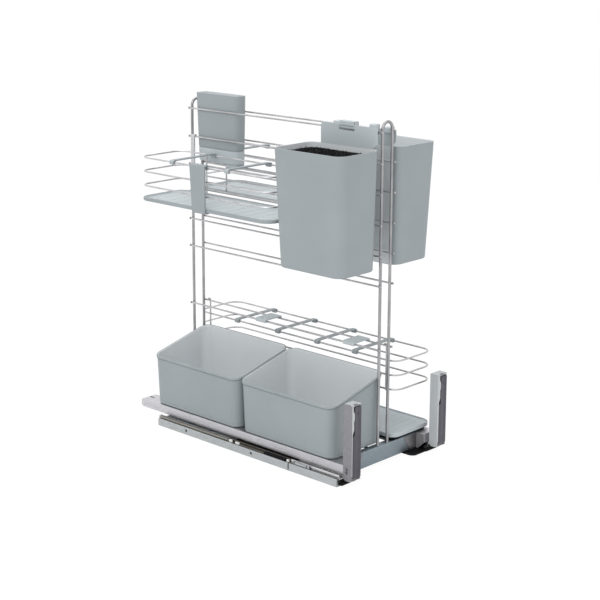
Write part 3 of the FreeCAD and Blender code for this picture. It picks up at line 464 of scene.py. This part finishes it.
# Insert in the left bin: a thin case of black plastic whose rim ends below the bin's, filled
# with upright black bristles that lean a little and are cut to uneven lengths.
black_plastic = plastic_finish("black_plastic", (0.007, 0.007, 0.008), (0.012, 0.012, 0.013), 0.08)
add_piece(
    "insert_case_form", [vessel(bin_ring, 1.6, 3.0, base=8.5, drop=9.0, side=3.0)], (black_plastic,),
    "insert", "insert_case", slot="insert", sign=-1,
)
bristle = Finish("bristle")
strands = bristle.cells(900.0, (1.0, 1.0, 0.02), "Color")
bristle.colour(strands.between(0.55, 0.95), (0.006, 0.006, 0.007), (0.055, 0.055, 0.06))
bristle.rough(strands.between(0.0, 1.0, 0.38, 0.55))
bristle.bump(strands, 0.0001, 0.4)
bristle_count, bristle_faces, bristle_radius, bristle_root = 2600, 4, 0.55, 505.0
chance = random.Random(7)
points, faces = [], []
while len(faces) < bristle_faces * bristle_count:
    x, y = chance.uniform(28.5, 114.5), chance.uniform(-220.0, -82.0)
    past_x = max(x - 102.5, 41.5 - x, 0.0)
    past_y = max(y + 94.0, -208.0 - y, 0.0)
    if past_x ** 2 + past_y ** 2 > 12.2 ** 2:
        continue
    tip = 520.5 + chance.uniform(-3.0, 2.9)
    lean_x, lean_y = chance.uniform(-0.5, 0.5), chance.uniform(-0.5, 0.5)
    turn = chance.uniform(0.0, 2.0)
    first = len(points)
    for centre_x, centre_y, level in ((x, y, bristle_root), (x + lean_x, y + lean_y, tip)):
        for corner in range(3):
            angle = turn + math.tau / 3 * corner
            points.append((
                centre_x + bristle_radius * math.cos(angle), centre_y + bristle_radius * math.sin(angle),
                level,
            ))
    for corner in range(3):
        after = (corner + 1) % 3
        faces.append((first + corner, first + after, first + 3 + after, first + 3 + corner))
    faces.append((first + 3, first + 4, first + 5))
field = bpy.data.meshes.new("field")
field.from_pydata(points, [], faces)
packed = [bin_ring(0, up, 4.75) for up in (10.2, 175.0)]
add_piece(
    "bristle_field", [field, skin(packed)], (bristle.material,), "insert", "bristle_block",
    slot="bristles", sign=-1,
)

# Slim holder: a narrow plastic pocket between the wires. A ledge runs round it, and its band
# below is a little lighter. Two tabs hook over the right top wire, and a small foot hangs low.
holder_ring = tapered(
    (-13.0, 13.0, 109.5, 205.0), (-13.0, 13.0, 106.5, 211.0), (4.0, 4.0, 11.0, 11.0), 464.0, 585.0,
)
holder_belt = ((0, 23.5, 0.0), (0, 24.5, 0.9), (0, 25.6, 0.9), (0, 25.9, 0.0), (0, 27.5, 0.0))
ledge_height = 488.0
pocket = vessel(holder_ring, 1.8, 2.5, belt=holder_belt)
for face in pocket.polygons:
    if face.center.z < ledge_height and face.material_index == 0:
        face.material_index = 2
hook = rounded((
    (12.0, 555.5), (12.6, 559.6, 1.0), (19.65, 559.6, 1.8), (19.65, 551.8, 0.8), (17.85, 551.8, 0.8),
    (17.85, 557.8), (13.4, 557.8), (12.8, 555.5),
), 0.3)
hooks = [pressed(hook, [], "y", start, start + 15.0, 0.3) for start in (123.0, 181.0)]
foot = pressed(rounded((
    (112.5, 470.0), (141.0, 470.0), (137.0, 456.0), (114.5, 456.0),
), 3.5), [], "x", -10.5, 10.5, 0.8)
# Its inside is painted in the paler inner grey, as painted light.
add_piece(
    "holder", [pocket, paint(foot, 2)] + hooks, (grey_plastic, lit_inner_plastic, pale_and_lit_plastic),
    "slim_holder", "slim_holder",
)

# Tubs: tapered plastic boxes with four low pads on the floor inside. The rim slopes down to
# the outer side and rolls out into a thin lip, and a groove runs round above the foot.
def bar(x0, x1, y0, y1, z0, z1, corner=0.6, edge=0.3):
    """A plain bar along Z; corner rounds its upright edges and edge softens the others."""
    ring = rounded(((x0, y0), (x1, y0), (x1, y1), (x0, y1)), corner)
    return pressed(ring, [], "z", z0, z1, edge)


tub_belt = (
    (0, 7.0, 0.0), (0, 7.3, 0.35), (0, 7.9, 0.35), (0, 8.2, 0.0), (1, -6.0, 0.0), (1, -4.4, -0.8),
    (1, -3.8, -1.2), (1, -3.4, -0.4), (1, -2.2, -0.4), (1, -1.9, -1.7),
)
tub_length, tub_taper, tub_low, tub_rim, rim_slope = 211.5, 2.5, 34.3, 153.0, 0.25
pad_half = 8
for name, start in (("tub_front", -213.0), ("tub_rear", 3.0)):
    tub_ring = tapered(
        (-117.5, 7.5, start + tub_taper, start + tub_length - tub_taper),
        (-120.0, 10.0, start, start + tub_length), 17.0, tub_low, tub_rim, rim_slope,
    )
    pads = [
        bar(x - pad_half, x + pad_half, y - pad_half, y + pad_half, 36.3, 37.1, 4.0)
        for x in (-96.0, -14.0) for y in (start + 24, start + 187)
    ]
    # Their insides and the pads on their floors are painted in the paler inner grey, as painted light.
    add_piece(
        f"{name}_form", [vessel(tub_ring, 2.2, 4.0, belt=tub_belt)] + [paint(pad, 1) for pad in pads],
        (grey_plastic, lit_inner_plastic), name, name,
    )

# Bottle tray: a shallow plastic tray that stands on the base frame. Its rim juts out over a
# dark foot that stands further in, and low ribs cross its raised floor. Rim and floor are
# painted in a paler grey, as painted light where the baskets above would shade them.
mat_box, mat_low, mat_rim, undercut_height = (20.0, 123.5, -225.0, 226.0), 34.3, 46.0, 38.7
mat_ring = tapered(mat_box, mat_box, 18.0, mat_low, mat_rim)
mat_belt = ((0, 4.3, 6.0), (0, 4.9, 0.6), (0, 5.6, 0.0), (0, 9.6, 0.0))
rib_start, rib_end = 30.0, 111.0
ribs = [bar(rib_start, rib_end, y, y + 2.4, 43.2, 44.2, 1.1, 0.4) for y in range(-205, 210, 15)]
flat_tray = vessel(mat_ring, 1.6, 0.5, belt=mat_belt, plinth=6.0, fill=8.0)
for face in flat_tray.polygons:
    face.material_index = int(face.center.z < undercut_height)
lit_mat_plastic = plastic_finish("lit_mat_plastic", (0.45, 0.494, 0.511), (0.483, 0.526, 0.541))
add_piece(
    "bottle_tray", [flat_tray] + ribs, (lit_mat_plastic, black_plastic), "bottle_mat", "bottle_mat",
)

# Upper baskets: plastic floors whose rims arch over the lowest ring, and upright clips that
# hook over the top ring and under the floor; a clip narrows towards its foot at the rear.
def cut_by(mesh, cutters):
    """The mesh with block-shaped cutters taken out of it."""
    target = bpy.data.objects.new("target", mesh)
    tool_mesh = bmesh.new()
    for lows, highs in cutters:
        middle = [(low + high) / 2 for low, high in zip(lows, highs)]
        scale = [high - low for low, high in zip(lows, highs)]
        bmesh.ops.create_cube(
            tool_mesh, matrix=Matrix.Translation(middle) @ Matrix.Diagonal((*scale, 1.0)),
        )
    tool = bpy.data.objects.new("tool", bpy.data.meshes.new("tool"))
    tool_mesh.to_mesh(tool.data)
    tool_mesh.free()
    scene.collection.objects.link(target)
    scene.collection.objects.link(tool)
    change = target.modifiers.new("cut", "BOOLEAN")
    change.object = tool
    change.solver = "EXACT"
    result = bpy.data.meshes.new_from_object(target.evaluated_get(bpy.context.evaluated_depsgraph_get()))
    bpy.data.objects.remove(target)
    bpy.data.objects.remove(tool)
    return result


ring_inner, ring_outer, ring_front, ring_rear, ring_radius = 21.4, 119.0, -70.0, 242.0, 20.0
top_ring_z, hook_half = 478.0, 1.8
floor_profile = (
    (402.1, -1.8), (405.4, -1.8), (405.4, 1.8), (402.1, 1.8), (402.1, 2.9), (402.5, 3.3), (406.3, 3.3),
    (407.0, 3.0), (407.4, 2.3), (407.4, -2.7), (407.1, -3.4), (406.2, -3.7), (405.6, -3.8), (405.2, -4.3),
    (405.0, -5.3),
)
rings_to_rim = 10
clip_points = (
    (122.6, 479.8, 1.2), (117.2, 479.8, 0.4), (117.2, 473.8, 1.2), (114.2, 473.8, 1.2), (114.2, 482.8, 3.2),
    (125.6, 482.8, 3.4), (125.6, 398.8, 3.4), (114.2, 398.8, 1.4), (114.2, 401.8, 1.4), (122.6, 401.8, 1.2),
)
clip_top, clip_low, clip_middle, clip_taper = 482.8, 398.8, 90.0, 6.0
# The floors' tops and ribs are painted in a paler grey than their rims, as painted light on faces turned up.
lit_floor_plastic = plastic_finish("lit_floor_plastic", (0.51, 0.556, 0.572), (0.547, 0.588, 0.604))
for side, sign in (("left", -1), ("right", 1)):
    basket_floor = skin([
        outline(
            ring_inner - grow, ring_outer + grow, ring_front - grow, ring_rear + grow,
            ring_radius + grow, height,
        )
        for height, grow in floor_profile
    ], rings_to_rim)
    basket_floor = cut_by(basket_floor, [
        ((21.0, y - hook_half, 401.0), (26.25, y + hook_half, 408.0)) for y in (-50.0, 173.0)
    ])
    ribs = [bar(rib_start, rib_end, y, y + 1.6, 404.4, 405.3, 0.7) for y in range(-52, 236, 24)]
    add_piece(
        f"tray_{side}", [basket_floor] + [paint(rib, 1) for rib in ribs], (grey_plastic, lit_floor_plastic),
        f"upper_basket_{side}", f"upper_tray_{side}", sign=sign,
    )
    clip = pressed(rounded(clip_points, 1.0), [], "y", 72.0, 109.0, 0.35)
    for vert in clip.vertices:
        if vert.co.y > clip_middle:
            vert.co.y -= clip_taper * (clip_top - vert.co.z) / (clip_top - clip_low)
    add_piece(
        f"clip_{side}", [clip], (grey_plastic,), f"upper_basket_{side}", f"upper_clip_{side}", sign=sign,
    )

# Dividers: flat plastic bars across the upper baskets and the bottle basket. A snap clip at
# each end is open below and slides along the ring's wire; the clips are painted paler than
# the bars, as painted light against their shade.
def arc(centre_u, centre_v, radius, degrees):
    """Points of an arc at the angles given."""
    turns = [math.radians(angle) for angle in degrees]
    return [(centre_u + radius * math.cos(turn), centre_v + radius * math.sin(turn)) for turn in turns]


def snap_divider(name, y, inner_x, ring_z, sign=1):
    """A divider at y, between the ring's inner wire at inner_x and its outer one."""
    half_width, flat, top = 4.5, ring_z + 1.9, ring_z + 4.0
    strip = rounded((
        (inner_x + 1.5, flat), (ring_outer - 1.5, flat), (ring_outer, top, 1.2), (inner_x, top, 1.2),
    ), 0.4)
    meshes = [pressed(strip, [], "y", y - half_width, y + half_width, 0.3)]
    for x in (inner_x, ring_outer):
        jaw = arc(x, ring_z, 4.0, range(-70, 251, 16)) + arc(x, ring_z, 1.8, range(222, -43, -12))
        meshes.append(paint(pressed(jaw, [], "y", y - half_width, y + half_width, 0.25), 1))
    add_piece(f"{name}_form", meshes, (grey_plastic, lit_clip_plastic), name, name, sign=sign)


lit_clip_plastic = plastic_finish("lit_clip_plastic", (0.36, 0.395, 0.408), (0.4, 0.437, 0.45))
for number, (left_y, right_y) in enumerate(((23.0, 23.0), (157.0, 163.0)), 1):
    snap_divider(f"divider_left_{number}", left_y, ring_inner, top_ring_z, sign=-1)
    snap_divider(f"divider_right_{number}", right_y, ring_inner, top_ring_z)
bottle_ring_inner, bottle_ring_z = 22.4, 172.0
for number, y in enumerate((-137.0, -51.0, 43.0, 144.0), 1):
    snap_divider(f"bottle_divider_{number}", y, bottle_ring_inner, bottle_ring_z)

# Saddle clips: bent strips of pale plastic that ride over the lowest pair of wires. Both
# ends turn down past the wires, with rounded shoulders.
saddle_points = (
    (-20.85, 197.0), (-20.85, 203.8, 3.0), (20.85, 203.8, 3.6), (20.85, 197.0, 1.4), (17.85, 197.0, 1.4),
    (17.85, 200.8, 0.8), (-17.85, 200.8, 0.8), (-17.85, 197.0),
)
saddle_half = 12
for number, y in ((1, -159.0), (2, 44.0)):
    saddle = pressed(rounded(saddle_points, 1.2), [], "y", y - saddle_half, y + saddle_half, 0.5)
    add_piece(
        f"saddle_{number}", [saddle], (pale_and_lit_plastic,), f"saddle_clip_{number}", f"saddle_clip_{number}",
    )

# Side rails: channels of zinc-plated sheet, open underneath, with a key slot in the top, a
# shallow bead along the outside and a nose that curves down at the rear. The front end is
# darker, and a short tongue goes on from it into the door bracket.
def sheet_finish(name, dark, light, stretch, roughness=0.36, zones=()):
    """Plated sheet, rolled along the stretch; zones are (start, end, colour) along Y in metres."""
    finish = Finish(name, metallic=1.0)
    spangle = finish.cells(190.0, output="Color")
    rolled = finish.noise(900.0, 3.0, stretch)
    cloud = finish.noise(16.0, 4.0)
    tone = finish.colour(spangle * 0.35 + rolled * 0.3 + cloud * 0.35, dark, light)
    marks = finish.noise(60.0, 5.0).between(0.62, 0.72)
    tone = finish.colour(marks * 0.25, tone, [channel * 0.7 for channel in dark])
    fade = 0.003
    for start, end, colour in zones:
        along = finish.axis("Y")
        inside = along.between(start - fade, start) * along.between(end + fade, end)
        tone = finish.colour(inside, tone, colour)
    finish.rough(rolled.between(0.2, 0.8, roughness - 0.06, roughness + 0.08) + spangle * 0.05)
    finish.bump(rolled, 0.00004, 0.5)
    return finish.material


rolled_x, rolled_y, rolled_z = (0.03, 1.0, 1.0), (1.0, 0.03, 1.0), (1.0, 1.0, 0.03)
rail_sheet = sheet_finish("rail_sheet", (0.51, 0.5, 0.52), (0.67, 0.66, 0.68), rolled_y)
bracket_sheet = sheet_finish("bracket_sheet", (0.23, 0.224, 0.236), (0.33, 0.322, 0.338), rolled_z)
rail_inner, rail_outer, rail_front, rail_rear, rear_radius, front_radius = 86, 118, -239, 256, 8, 2.0
dark_end = -237.5
nose_start, nose_length, nose_height, nose_depth = 242.0, 12.0, 26.5, 0.62
rail_profile = (
    (34.0, 1.5), (33.85, 0.75), (33.4, 0.15), (32.6, 0.0), (26.4, 0.0), (26.0, 0.5), (25.0, 0.5),
    (24.6, 0.0), (19.2, 0.0), (19.0, 0.3), (19.0, 1.2), (19.3, 1.5), (32.5, 1.5),
)
for side, sign in (("left", -1), ("right", 1)):
    shell = skin([
        outline(
            rail_inner + inset, rail_outer - inset, rail_front + inset, rail_rear - inset,
            (rear_radius - inset, rear_radius - inset, front_radius, front_radius), height,
        )
        for height, inset in rail_profile
    ])
    shell = cut_by(shell, [((100.0, 234.0, 32.0), (104.0, 246.0, 34.5))])
    nose = bmesh.new()
    nose.from_mesh(shell)
    for y in (243.0, 245.0, 247.0, 249.0, 251.0):
        whole = nose.verts[:] + nose.edges[:] + nose.faces[:]
        bmesh.ops.bisect_plane(nose, geom=whole, plane_co=(0.0, y, 0.0), plane_no=(0.0, 1.0, 0.0))
    for vert in nose.verts:
        past = min(max(vert.co.y - nose_start, 0.0) / nose_length, 1.0)
        vert.co.z += (nose_height - vert.co.z) * nose_depth * (1.0 - math.sqrt(1.0 - past ** 2))
    nose.to_mesh(shell)
    nose.free()
    tongue = [
        bar(101.0, 117.9, -251.0, -238.0, 32.4, 33.9),
        bar(116.5, 118.0, -251.0, -238.0, 19.0, 33.0),
    ]
    for face in shell.polygons:
        if face.center.y < dark_end:
            face.material_index = 1
    add_piece(
        f"rail_{side}", [shell] + tongue, (rail_sheet, bracket_sheet), "carriage", f"side_rail_{side}",
        slot="zinc_sheet", sign=sign,
    )

# Crossbars: folded angles of bluish plated sheet. A greyer plate with a slanting edge laps
# over each end of the front one, and a dark cheek turns forwards along the side rail.
silver_paint = plastic_finish("silver_paint", (0.475, 0.497, 0.506), (0.53, 0.549, 0.558))
lap_paint = plastic_finish("lap_paint", (0.19, 0.185, 0.192), (0.225, 0.219, 0.228))
bar_sheet = sheet_finish("bar_sheet", (0.215, 0.255, 0.285), (0.325, 0.375, 0.405), rolled_x)
bar_end = 85.9
for name, face_y, inwards in (("front", -221.0, 1), ("rear", 225.0, -1)):
    folded = rounded([(face_y + inwards * depth, height, bend) for depth, height, bend in (
        (0.0, 6.5, 0.5), (0.0, 34.0, 2.4), (12.0, 34.0, 0.5), (12.0, 32.0, 0.5), (2.0, 32.0, 0.6),
        (2.0, 6.5, 0.5),
    )], 0.5)
    meshes = [pressed(folded, [], "x", -bar_end, bar_end, 0.3)]
    if name == "front":
        for sign in (-1, 1):
            lap = [(sign * x, z) for x, z in ((68.0, 7.0), (85.5, 7.0), (85.5, 33.0), (52.0, 33.0))]
            cheek = ((-238.6, 19.4), (-238.6, 33.8), (-221.2, 33.8), (-221.2, 6.8), (-226.0, 6.8))
            cheek_sides = sorted((sign * 84.8, sign * bar_end))
            meshes.append(paint(pressed(rounded(lap, 0.6), [], "y", -221.7, -220.9, 0.2), 1))
            meshes.append(paint(pressed(rounded(cheek, 1.0), [], "x", *cheek_sides, 0.2), 2))
    add_piece(
        f"bar_{name}", meshes, (bar_sheet, bracket_sheet, lap_paint), "carriage", f"crossbar_{name}",
        slot="zinc_sheet",
    )

# Door brackets: folded steel channels with a rounded foot, a notched cap and a wavy lip. The
# dark front plates, which the door is screwed to, carry upright ridges and two holes. Both
# brackets are of one hand: drawn for the left side, and shifted for the right.
def shifted(meshes, x):
    """The meshes, moved along X."""
    for mesh in meshes:
        mesh.transform(Matrix.Translation((x, 0.0, 0.0)))
    return meshes


front_paint = plastic_finish("front_paint", (0.078, 0.073, 0.088), (0.105, 0.098, 0.116))
bracket_front, bracket_rear, bracket_foot, bracket_top = -256, -239, 11, 139
inner_cheek_front = -254.5
# The cheek that faces the left is dark sheet on the left bracket, as painted shade, and silver paint on the
# right one, as painted light: one finish under different light.
for side, shift, cheek_shading in (("left", 0.0, 0), ("right", -220.5, 1)):
    cheek = rounded((
        (bracket_front, bracket_foot, 4.5), (bracket_rear, bracket_foot, 6.5),
        (bracket_rear, bracket_top, 1.6), (bracket_front, bracket_top, 2.4),
    ), 1.0)
    cap = rounded((
        (98.2, -239.2), (122.3, -239.2), (122.3, -255.8, 1.4), (115.5, -255.8), (114.5, -251.0, 1.5),
        (105.5, -251.0, 1.5), (104.5, -255.8), (98.2, -255.8, 1.4),
    ), 0.6)
    lip = rounded((
        (120.6, 20.0), (120.6, 137.0), (117.2, 137.0), (117.2, 129.5), (114.6, 124.0), (114.4, 115.0),
        (116.0, 110.0), (115.6, 97.0), (119.0, 91.0), (119.0, 20.0),
    ), 0.8)
    meshes = shifted([
        paint(pressed(cheek, [], "x", 120.5, 122.5, 0.5), cheek_shading),
        pressed([(max(y, inner_cheek_front), z) for y, z in cheek], [], "x", 98.0, 100.0, 0.5),
        paint(pressed(cap, [], "z", 137.0, 138.9, 0.5), 1),
        bar(98.3, 122.2, -253.6, -251.8, 13.5, 137.5),
        bar(98.3, 122.2, -254.0, -241.0, 11.1, 13.0, 3.0),
        paint(bar(98.4, 104.0, -255.9, -254.2, 11.6, 13.1), 1),
        paint(bar(116.5, 122.1, -255.9, -254.2, 11.6, 13.1), 1),
        paint(pressed(lip, [], "y", bracket_front, -255.2, 0.2), 1),
    ], shift)
    add_piece(
        f"bracket_{side}", meshes, (bracket_sheet, silver_paint), "carriage", f"door_bracket_{side}",
        slot="bracket", sign=-1,
    )
    holes = [arc(108.6, height, 1.8, range(0, 360, 18)) for height in (27.0, 123.0)]
    plate = rounded((
        (98.2, 15.8), (118.6, 15.8), (118.6, 84.0), (113.6, 88.0), (113.6, 134.2), (98.2, 134.2),
    ), 1.2)
    ridges = [
        bar(x, x + 1.3, bracket_front, -255.0, 16.6, top, 0.5) for x, top in (
            (99.0, 133.4), (101.6, 133.4), (104.2, 133.4), (112.0, 133.4), (114.6, 83.0), (116.6, 82.0),
        )
    ]
    meshes = shifted([
        pressed(plate, holes, "y", -255.6, -254.7, 0.3), bar(100.4, 113.0, -255.0, -254.0, 16.5, 133.5),
        *ridges,
    ], shift)
    add_piece(
        f"plate_{side}", meshes, (front_paint,), f"door_plate_{side}", f"door_plate_{side}",
        slot="bracket_front", sign=-1,
    )
dress(bracket_sheet, "bracket_screws_left", "bracket_screws_right")

# Runners: cabinet rails of plated sheet in two lengths, with a dark seam, two screw holes and
# a folded front lip. The middle rails carry white and black stops, a bright spring and a dark
# brown band. The drawer rails keep their solids, painted near white along the front and dark
# behind that, up to the middle.
runner_dark, runner_light = (0.44, 0.458, 0.463), (0.58, 0.6, 0.605)
runner_sheet = sheet_finish("runner_sheet", runner_dark, runner_light, rolled_y)
middle_sheet = sheet_finish("middle_sheet", (0.28, 0.266, 0.24), (0.4, 0.382, 0.35), rolled_y)
dark_brown_sheet = sheet_finish("dark_brown_sheet", (0.1, 0.09, 0.075), (0.17, 0.154, 0.13), rolled_y)
# Zones along the drawer rail: painted near white at the front and dark behind it.
drawer_sheet = sheet_finish(
    "drawer_sheet", runner_dark, runner_light, rolled_y,
    zones=((-0.24, -0.131, (0.86, 0.86, 0.87)), (-0.128, 0.015, (0.14, 0.131, 0.117))),
)
white_plastic = plastic_finish("white_plastic", (0.72, 0.72, 0.7), (0.8, 0.8, 0.78))
runner_front, runner_rear, runner_top = -234.0, 191.0, 13.5
seam_front, seam_rear = -129.1, -126.9
web_inner, web_outer = 130.5, 132.0
white, black, zinc, greased, dark_brown = range(5)
for side, sign in (("left", -1), ("right", 1)):
    holes = [arc(y, 7.5, 2.25, range(0, 360, 18)) for y in (-42.0, 118.0)]
    front = rounded((
        (runner_front, 0.4), (seam_front, 0.4), (seam_front, runner_top), (runner_front, runner_top, 1.5),
    ), 0.5)
    rear = rounded((
        (seam_rear, 0.4), (runner_rear, 0.4), (runner_rear, runner_top, 3.0), (seam_rear, runner_top),
    ), 0.5)
    lip = rounded((
        (126.5, 1.2), (131.4, 1.2), (131.4, 12.6, 0.6), (130.2, 12.6), (130.2, 8.4, 0.6), (126.5, 7.4, 1.4),
    ), 0.5)
    meshes = [
        pressed(front, [], "x", web_inner, web_outer, 0.3),
        pressed(rear, holes, "x", web_inner, web_outer, 0.3),
        paint(bar(129.4, 130.8, -140.0, -110.0, 1.0, 13.0), 1),
        bar(98.1, 131.6, runner_front, runner_rear, 0.0, 1.5),
        bar(98.0, 99.5, runner_front, runner_rear, 0.6, 8.0),
        pressed(lip, [], "y", runner_front, runner_front + 1.4, 0.3),
    ]
    add_piece(
        f"cabinet_runner_{side}", meshes, (runner_sheet, black_plastic), "cabinet", f"cabinet_rail_{side}",
        slot="zinc_sheet", sign=sign,
    )
    stops = [
        paint(bar(126.7, 129.8, start, end, low, high, 0.8), kind) for start, end, low, high, kind in (
            (6.0, 13.0, 13.8, 18.0, white), (-11.0, -2.0, 13.8, 17.2, white),
            (-127.0, -122.0, 13.6, 17.4, white), (-120.0, -70.0, 13.4, 17.0, black),
            (-166.0, -140.0, 13.7, 17.2, zinc), (-172.0, -168.0, 13.6, 18.2, zinc),
            (-138.0, -136.0, 13.6, 18.4, zinc),
        )
    ]
    bands = [
        paint(bar(127.4, outer, start, end, 9.0, top), kind) for start, end, outer, top, kind in (
            (-170.0, 12.0, 128.9, 14.2, greased), (-68.0, -13.0, 128.6, 16.2, dark_brown),
            (15.0, 189.0, 128.6, 17.6, greased),
        )
    ]
    add_piece(
        f"runner_stops_{side}", stops + bands,
        (white_plastic, black_plastic, runner_sheet, middle_sheet, dark_brown_sheet), f"middle_rail_{side}",
        slot="middle_rail", sign=sign,
    )
dress(drawer_sheet, "drawer_rail_left", "drawer_rail_right")
dress(middle_sheet, "middle_rail_left", "middle_rail_right")
dress(white_plastic, "lower_cage_left", "lower_cage_right", "upper_cage_left", "upper_cage_right")

# Release levers: boat-shaped arms of black plastic with a rounded keel and a thin grip to the
# side, on blocks of the same plastic. The left arm is shorter and its front corner rounder.
arm_outer, arm_front, arm_rear = 95, -240, -206
keel_profile = (
    (1.5, 3.6), (1.9, 2.0), (2.7, 0.8), (3.9, 0.1), (5.4, 0.0), (5.85, 0.35), (6.0, 1.0), (6.0, 2.2),
    (5.3, 2.8),
)
for side, sign, inner, corners in (
    ("left", -1, 66.0, (4.0, 9.0, 25.0, 4.0)), ("right", 1, 55.0, (6.0, 9.0, 12.0, 4.0)),
):
    keel = [
        outline(
            inner + inset, arm_outer - inset, arm_front + inset, arm_rear - inset,
            tuple(radius - inset for radius in corners), height,
        )
        for height, inset in keel_profile
    ]
    grip = bar(90, 126, arm_front, arm_front + 5, 1.6, 5.9, 2.3, 1.2)
    add_piece(
        f"lever_{side}", [skin(keel), grip], (black_plastic,),
        f"release_lever_{side}", f"release_lever_{side}", slot="lever", sign=sign,
    )
dress(black_plastic, "lever_block_left", "lever_block_right")

# Weld beads where the lengthwise wires meet the hoops' legs, and the wires' upset ends:
# flattened, slightly uneven blobs.
bead_steel = sheet_finish("bead_steel", (0.26, 0.255, 0.26), (0.42, 0.415, 0.42), (1.0, 1.0, 1.0), 0.42)
beads = bmesh.new()
chance = random.Random(3)
for side in (-1, 1):
    for y, end in ((-218.0, -220.4), (222.0, 224.4)):
        for height in (556.0, 506.0, 456.0, 406.0, 356.0, 306.0, 199.0):
            for x, place, size in ((14.4, y, (1.1, 1.5, 1.4)), (16.6, end, (2.3, 1.9, 2.3))):
                for vert in bmesh.ops.create_icosphere(beads, subdivisions=2, radius=1.0)["verts"]:
                    vert.co = Vector([a * b for a, b in zip(vert.co, size)])
                    vert.co *= 1.0 + chance.uniform(-0.05, 0.05)
                    vert.co += Vector((side * x, place, height))
bead_mesh = bpy.data.meshes.new("beads")
beads.to_mesh(bead_mesh)
beads.free()
add_piece("weld_beads", [bead_mesh], (bead_steel,), "carriage", slot="wire", sharp=180.0)
